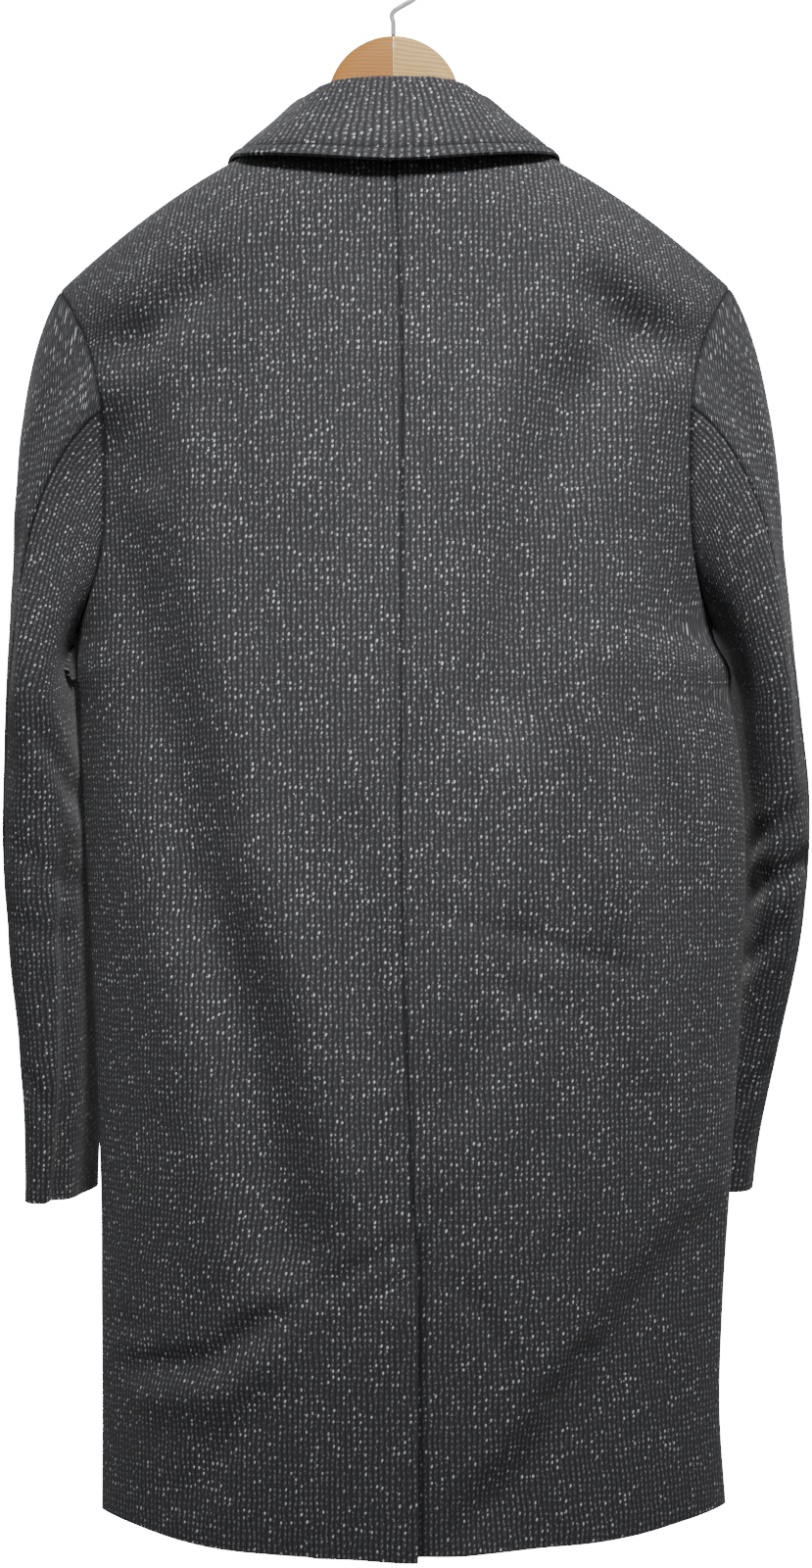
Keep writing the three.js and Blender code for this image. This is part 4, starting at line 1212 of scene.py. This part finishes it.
def hanger_half(side):
    neck, arm = np.linspace(3, DOME_R, 20), np.linspace(DOME_R + 5, HANGER_ARM, 26)
    xs = np.concatenate([[0.04], neck, arm, [204, 208, 210.5, HANGER_HALF]])
    points = []
    for x in xs:
        dome = DOME_Z - DOME_R + math.sqrt(DOME_R**2 - x * x) if x < DOME_R else -math.inf
        arm = float(ridge_z(max(x, 40))) - CLOTH - HANGER_GAP
        top = max(dome, arm)
        half = mix(HANGER_THIN, HANGER_WIDE, float(smooth(60, HANGER_ARM, x)))
        end = math.sqrt(max(1 - (max(x - HANGER_ARM, 0) / HANGER_END) ** 2, 0.05))
        deep = (HANGER_DEEP + HANGER_NECK * (1 - float(smooth(20, 80, x)))) * mix(0.7, 1, end)
        bottom = min(top, arm) - deep
        centre_y = mix(0, MID_Y, float(smooth(30, 110, x)))
        for c, s in circle(HANGER_AROUND):
            y = half * end * signed_power(s, HANGER_SECTION[0])
            z = (top + bottom) / 2 + (top - bottom) / 2 * signed_power(c, HANGER_SECTION[1])
            points.append((side * x, centre_y + y, z))
    name = side_name(side)
    piece = mesh_object("beech_" + name, points, tube_faces(len(xs), HANGER_AROUND), sharp=50)
    # the left half takes the wood painted as shaded, the right half the wood painted as lit
    declare(piece, "hanger_" + name, "wood_" + name)


def swept_wire(path, radius):
    """A round wire along a path in one plane, with round ends."""
    path = np.asarray(path, float)
    along = unit(np.gradient(path, axis=0))
    level = np.array([0, 1.0, 0])
    points = []
    ends = [0.25, 0.7, 0.95]
    rings = [(path[0] - along[0] * radius * math.sqrt(1 - k * k) * 0.6, k, 0) for k in ends]
    rings += [(p, 1.0, i) for i, p in enumerate(path)]
    rings += [(path[-1] + along[-1] * radius * math.sqrt(1 - k * k), k, -1) for k in reversed(ends)]
    for centre, share, i in rings:
        side = np.cross(level, along[i])
        for c, s in circle(WIRE_AROUND):
            points.append(centre + radius * share * (c * level + s * side))
    return points, tube_faces(len(rings), WIRE_AROUND)


def hook():
    radius = HOOK_INNER + HOOK_WIRE / 2
    corners = [(0, 0, DOME_Z + 1), (0, 0, DOME_Z + 9), (0, 0, DOME_Z + 17)]
    for degrees in range(-55, 206, 13):
        a = math.radians(degrees)
        corners.append((-radius * math.cos(a), 0, -HOOK_INNER + radius * math.sin(a)))
    path = rounded_curve(corners, np.linspace(0, len(corners) - 1, 150))
    points, faces = swept_wire(path, HOOK_WIRE / 2)
    piece = mesh_object("chrome_hook", points, faces, sharp=60)
    declare(piece, "hook", "chrome")


def front_at(x, z):
    return np.array([x, float(body_y(1, -1, x, z, False)), z])


def button(number, z, tree):
    """A horn button with a raised rim and four holes, sewn on square to the cloth."""
    points = [(r * c, r * s, rise) for r, rise in BUTTON_PROFILE for c, s in circle(BUTTON_AROUND)]
    faces = tube_faces(len(BUTTON_PROFILE), BUTTON_AROUND)
    piece = mesh_object(f"horn_button_{number}", points, faces, sharp=35)
    cut_holes(piece)
    span = BUTTON_RADIUS
    across = front_at(span, z) - front_at(-span, z)
    normal = unit(np.cross(across, front_at(0, z + span) - front_at(0, z - span)))
    turn = Vector((0, 0, 1)).rotation_difference(Vector(normal)).to_matrix().to_4x4()
    place = Matrix.Translation(Vector((front_at(0, z) + normal * BUTTON_CLEAR) * MM)) @ turn
    piece.data.transform(place)
    piece.data.materials.clear()
    declare(piece, f"button_{number}", "horn")
    frame_matrix = np.array(place)
    paths = []
    for row in (-HOLE_UP, HOLE_UP):
        local = [(-HOLE_ACROSS, row, 2.0), (-2.0, row, 3.1), (2.0, row, 3.1), (HOLE_ACROSS, row, 2.0)]
        world = [(frame_matrix @ np.array([x * MM, y * MM, h * MM, 1]))[:3] / MM for x, y, h in local]
        paths.append(rounded_curve(world, np.linspace(0, 3, 20)))
    stitch_row(f"button_thread_{number}", tree, paths, pitch=0.5, length=1.2, thick=0.9)


def cut_holes(piece):
    """Four sewing holes through a flat button."""
    for x in (-HOLE_ACROSS, HOLE_ACROSS):
        for y in (-HOLE_UP, HOLE_UP):
            points = [(x + c, y + s, height) for height in (-2, 6) for c, s in circle(HOLE_AROUND)]
            cutter = mesh_object("hole_cutter", points, tube_faces(2, HOLE_AROUND))
            modifier = piece.modifiers.new("hole", "BOOLEAN")
            modifier.operation = "DIFFERENCE"
            modifier.object = cutter
            shown = piece.evaluated_get(bpy.context.evaluated_depsgraph_get())
            cut = bpy.data.meshes.new_from_object(shown)
            piece.modifiers.clear()
            piece.data = cut
            bpy.data.objects.remove(cutter)


def buttonhole(number, z, tree):
    """A worked slit beside each button, on the left front."""
    middle = (BUTTONHOLE_FROM + BUTTONHOLE_TO) / 2
    reach = (BUTTONHOLE_TO - BUTTONHOLE_FROM) / 2
    ring = []
    for c, s in circle(BUTTONHOLE_AROUND):
        x = middle + reach * signed_power(c, 0.5)
        height = z + BUTTONHOLE_HALF * signed_power(s, 0.7)
        ring.append((x, float(body_y(1, -1, x, height)) - 0.25, height))
    ring.append(ring[0])
    stitch_row(f"buttonhole_{number}", tree, [ring], pitch=0.7, length=1.1, thick=1.0)


# Room, light and camera

CAMERA_DISTANCE = 1425
CAMERA_Z = -702.5
CAMERA_YAW = 0.3
CAMERA_ROLL = 0.4
FOCAL_PIXELS = 2054
FRAME = (829, 1600)
LEVEL_ROW = 953
AXIS_COLUMN = 408
SENSOR = 36.0
FLOOR_Z = -1750
FLOOR_RADIUS = 1.3
# Each light's place, aim, size and power
LAMP = ((-0.25, 1.4, 1.15), (0, 0, -0.58), 0.45, 3.7)
LAMP_SPREAD = 34
FRONT_LIGHT = ((0.9, -1.9, 0.5), (0, 0, -0.6), 1.6, 30)
ROOM_COLOR = (0.94, 0.97, 1.0, 1)
ROOM_STRENGTH = 0.13
PAPER_STRENGTH = 20.0  # what the camera sees behind the coat
MIRRORED_STRENGTH = 0.9  # what shiny pieces mirror


def camera():
    data = bpy.data.cameras.new("camera")
    data.sensor_width = SENSOR
    data.lens = FOCAL_PIXELS / FRAME[1] * SENSOR
    data.shift_x = (FRAME[0] / 2 - AXIS_COLUMN) / FRAME[1]
    data.shift_y = (LEVEL_ROW - FRAME[1] / 2) / FRAME[1]
    data.clip_start = 0.05
    yaw = math.radians(CAMERA_YAW)
    place = Vector((math.sin(yaw), math.cos(yaw), 0)) * CAMERA_DISTANCE * MM
    place.z = CAMERA_Z * MM
    made = add_object("camera", data)
    away = Vector((place.x, place.y, 0))
    turn = (-away).to_track_quat("-Z", "Y").to_matrix().to_4x4()
    roll = Matrix.Rotation(math.radians(-CAMERA_ROLL), 4, "Z")
    made.matrix_world = Matrix.Translation(place) @ turn @ roll
    bpy.context.scene.camera = made


def stage():
    """A round pale floor under the coat."""
    points = [(0, 0, FLOOR_Z * MM)]
    points += [(FLOOR_RADIUS * c, FLOOR_RADIUS * s, FLOOR_Z * MM) for c, s in circle(FLOOR_AROUND)]
    faces = [(0, k + 1, (k + 1) % FLOOR_AROUND + 1) for k in range(FLOOR_AROUND)]
    mesh = bpy.data.meshes.new("studio_floor")
    mesh.from_pydata(points, [], faces)
    floor = add_object("studio_floor", mesh)
    paper, w, shader = material("pale_paper", (0.8, 0.8, 0.8), 0.9)
    grain = w.noise(w.place(), 300.0).outputs[0]
    bump(w, shader, grain, 0.0002, 0.2)
    mesh.materials.append(paper)


def area_light(name, place, aim, size, power):
    data = bpy.data.lights.new(name, "AREA")
    data.shape = "DISK"
    data.size = size
    data.energy = power
    light = add_object(name, data)
    turn = (Vector(aim) - Vector(place)).to_track_quat("-Z", "Y").to_matrix().to_4x4()
    light.matrix_world = Matrix.Translation(Vector(place)) @ turn
    return data


def lighting():
    lamp = area_light("lamp", *LAMP)
    lamp.spread = math.radians(LAMP_SPREAD)
    area_light("front", *FRONT_LIGHT)
    world = bpy.data.worlds.new("studio")
    world.use_nodes = True
    w = Wiring(world.node_tree)
    room = world.node_tree.nodes["Background"]
    w.feed(room, "i0", ROOM_COLOR)
    w.feed(room, "i1", ROOM_STRENGTH)
    ray = w.node("ShaderNodeLightPath")
    shown = room
    for kind, strength in (("Is Glossy Ray", MIRRORED_STRENGTH), ("Is Camera Ray", PAPER_STRENGTH)):
        white = w.node("ShaderNodeBackground", Color=(1, 1, 1, 1), Strength=strength)
        mixed = {"i0": ray.outputs[kind], "i1": shown.outputs[0], "i2": white.outputs[0]}
        shown = w.node("ShaderNodeMixShader", **mixed)
    w.feed(world.node_tree.nodes["World Output"], "i0", shown.outputs[0])
    bpy.context.scene.world = world


# The coat is put together

camera()
stage()
lighting()
stitches = stitch_tree()
for side in (1, -1):
    body_panel(side, 1)
    body_panel(side, -1)
    sleeve_panel(side, BACK_SEAM, FRONT_SEAM, "under")
    sleeve_panel(side, FRONT_SEAM, BACK_SEAM + len(RING), "top")
    lapel(side)
    hanger_half(side)
collar_grid, collar_normals, collar_from_edge = collar()
collar_stitches = inset_line(collar_grid, collar_normals, collar_from_edge, STITCH_INSET)
stitch_row("collar_topstitch", stitches, [collar_stitches])
hook()
for number, height in enumerate(BUTTONS_Z, 1):
    button(number, height, stitches)
    buttonhole(number, height, stitches)
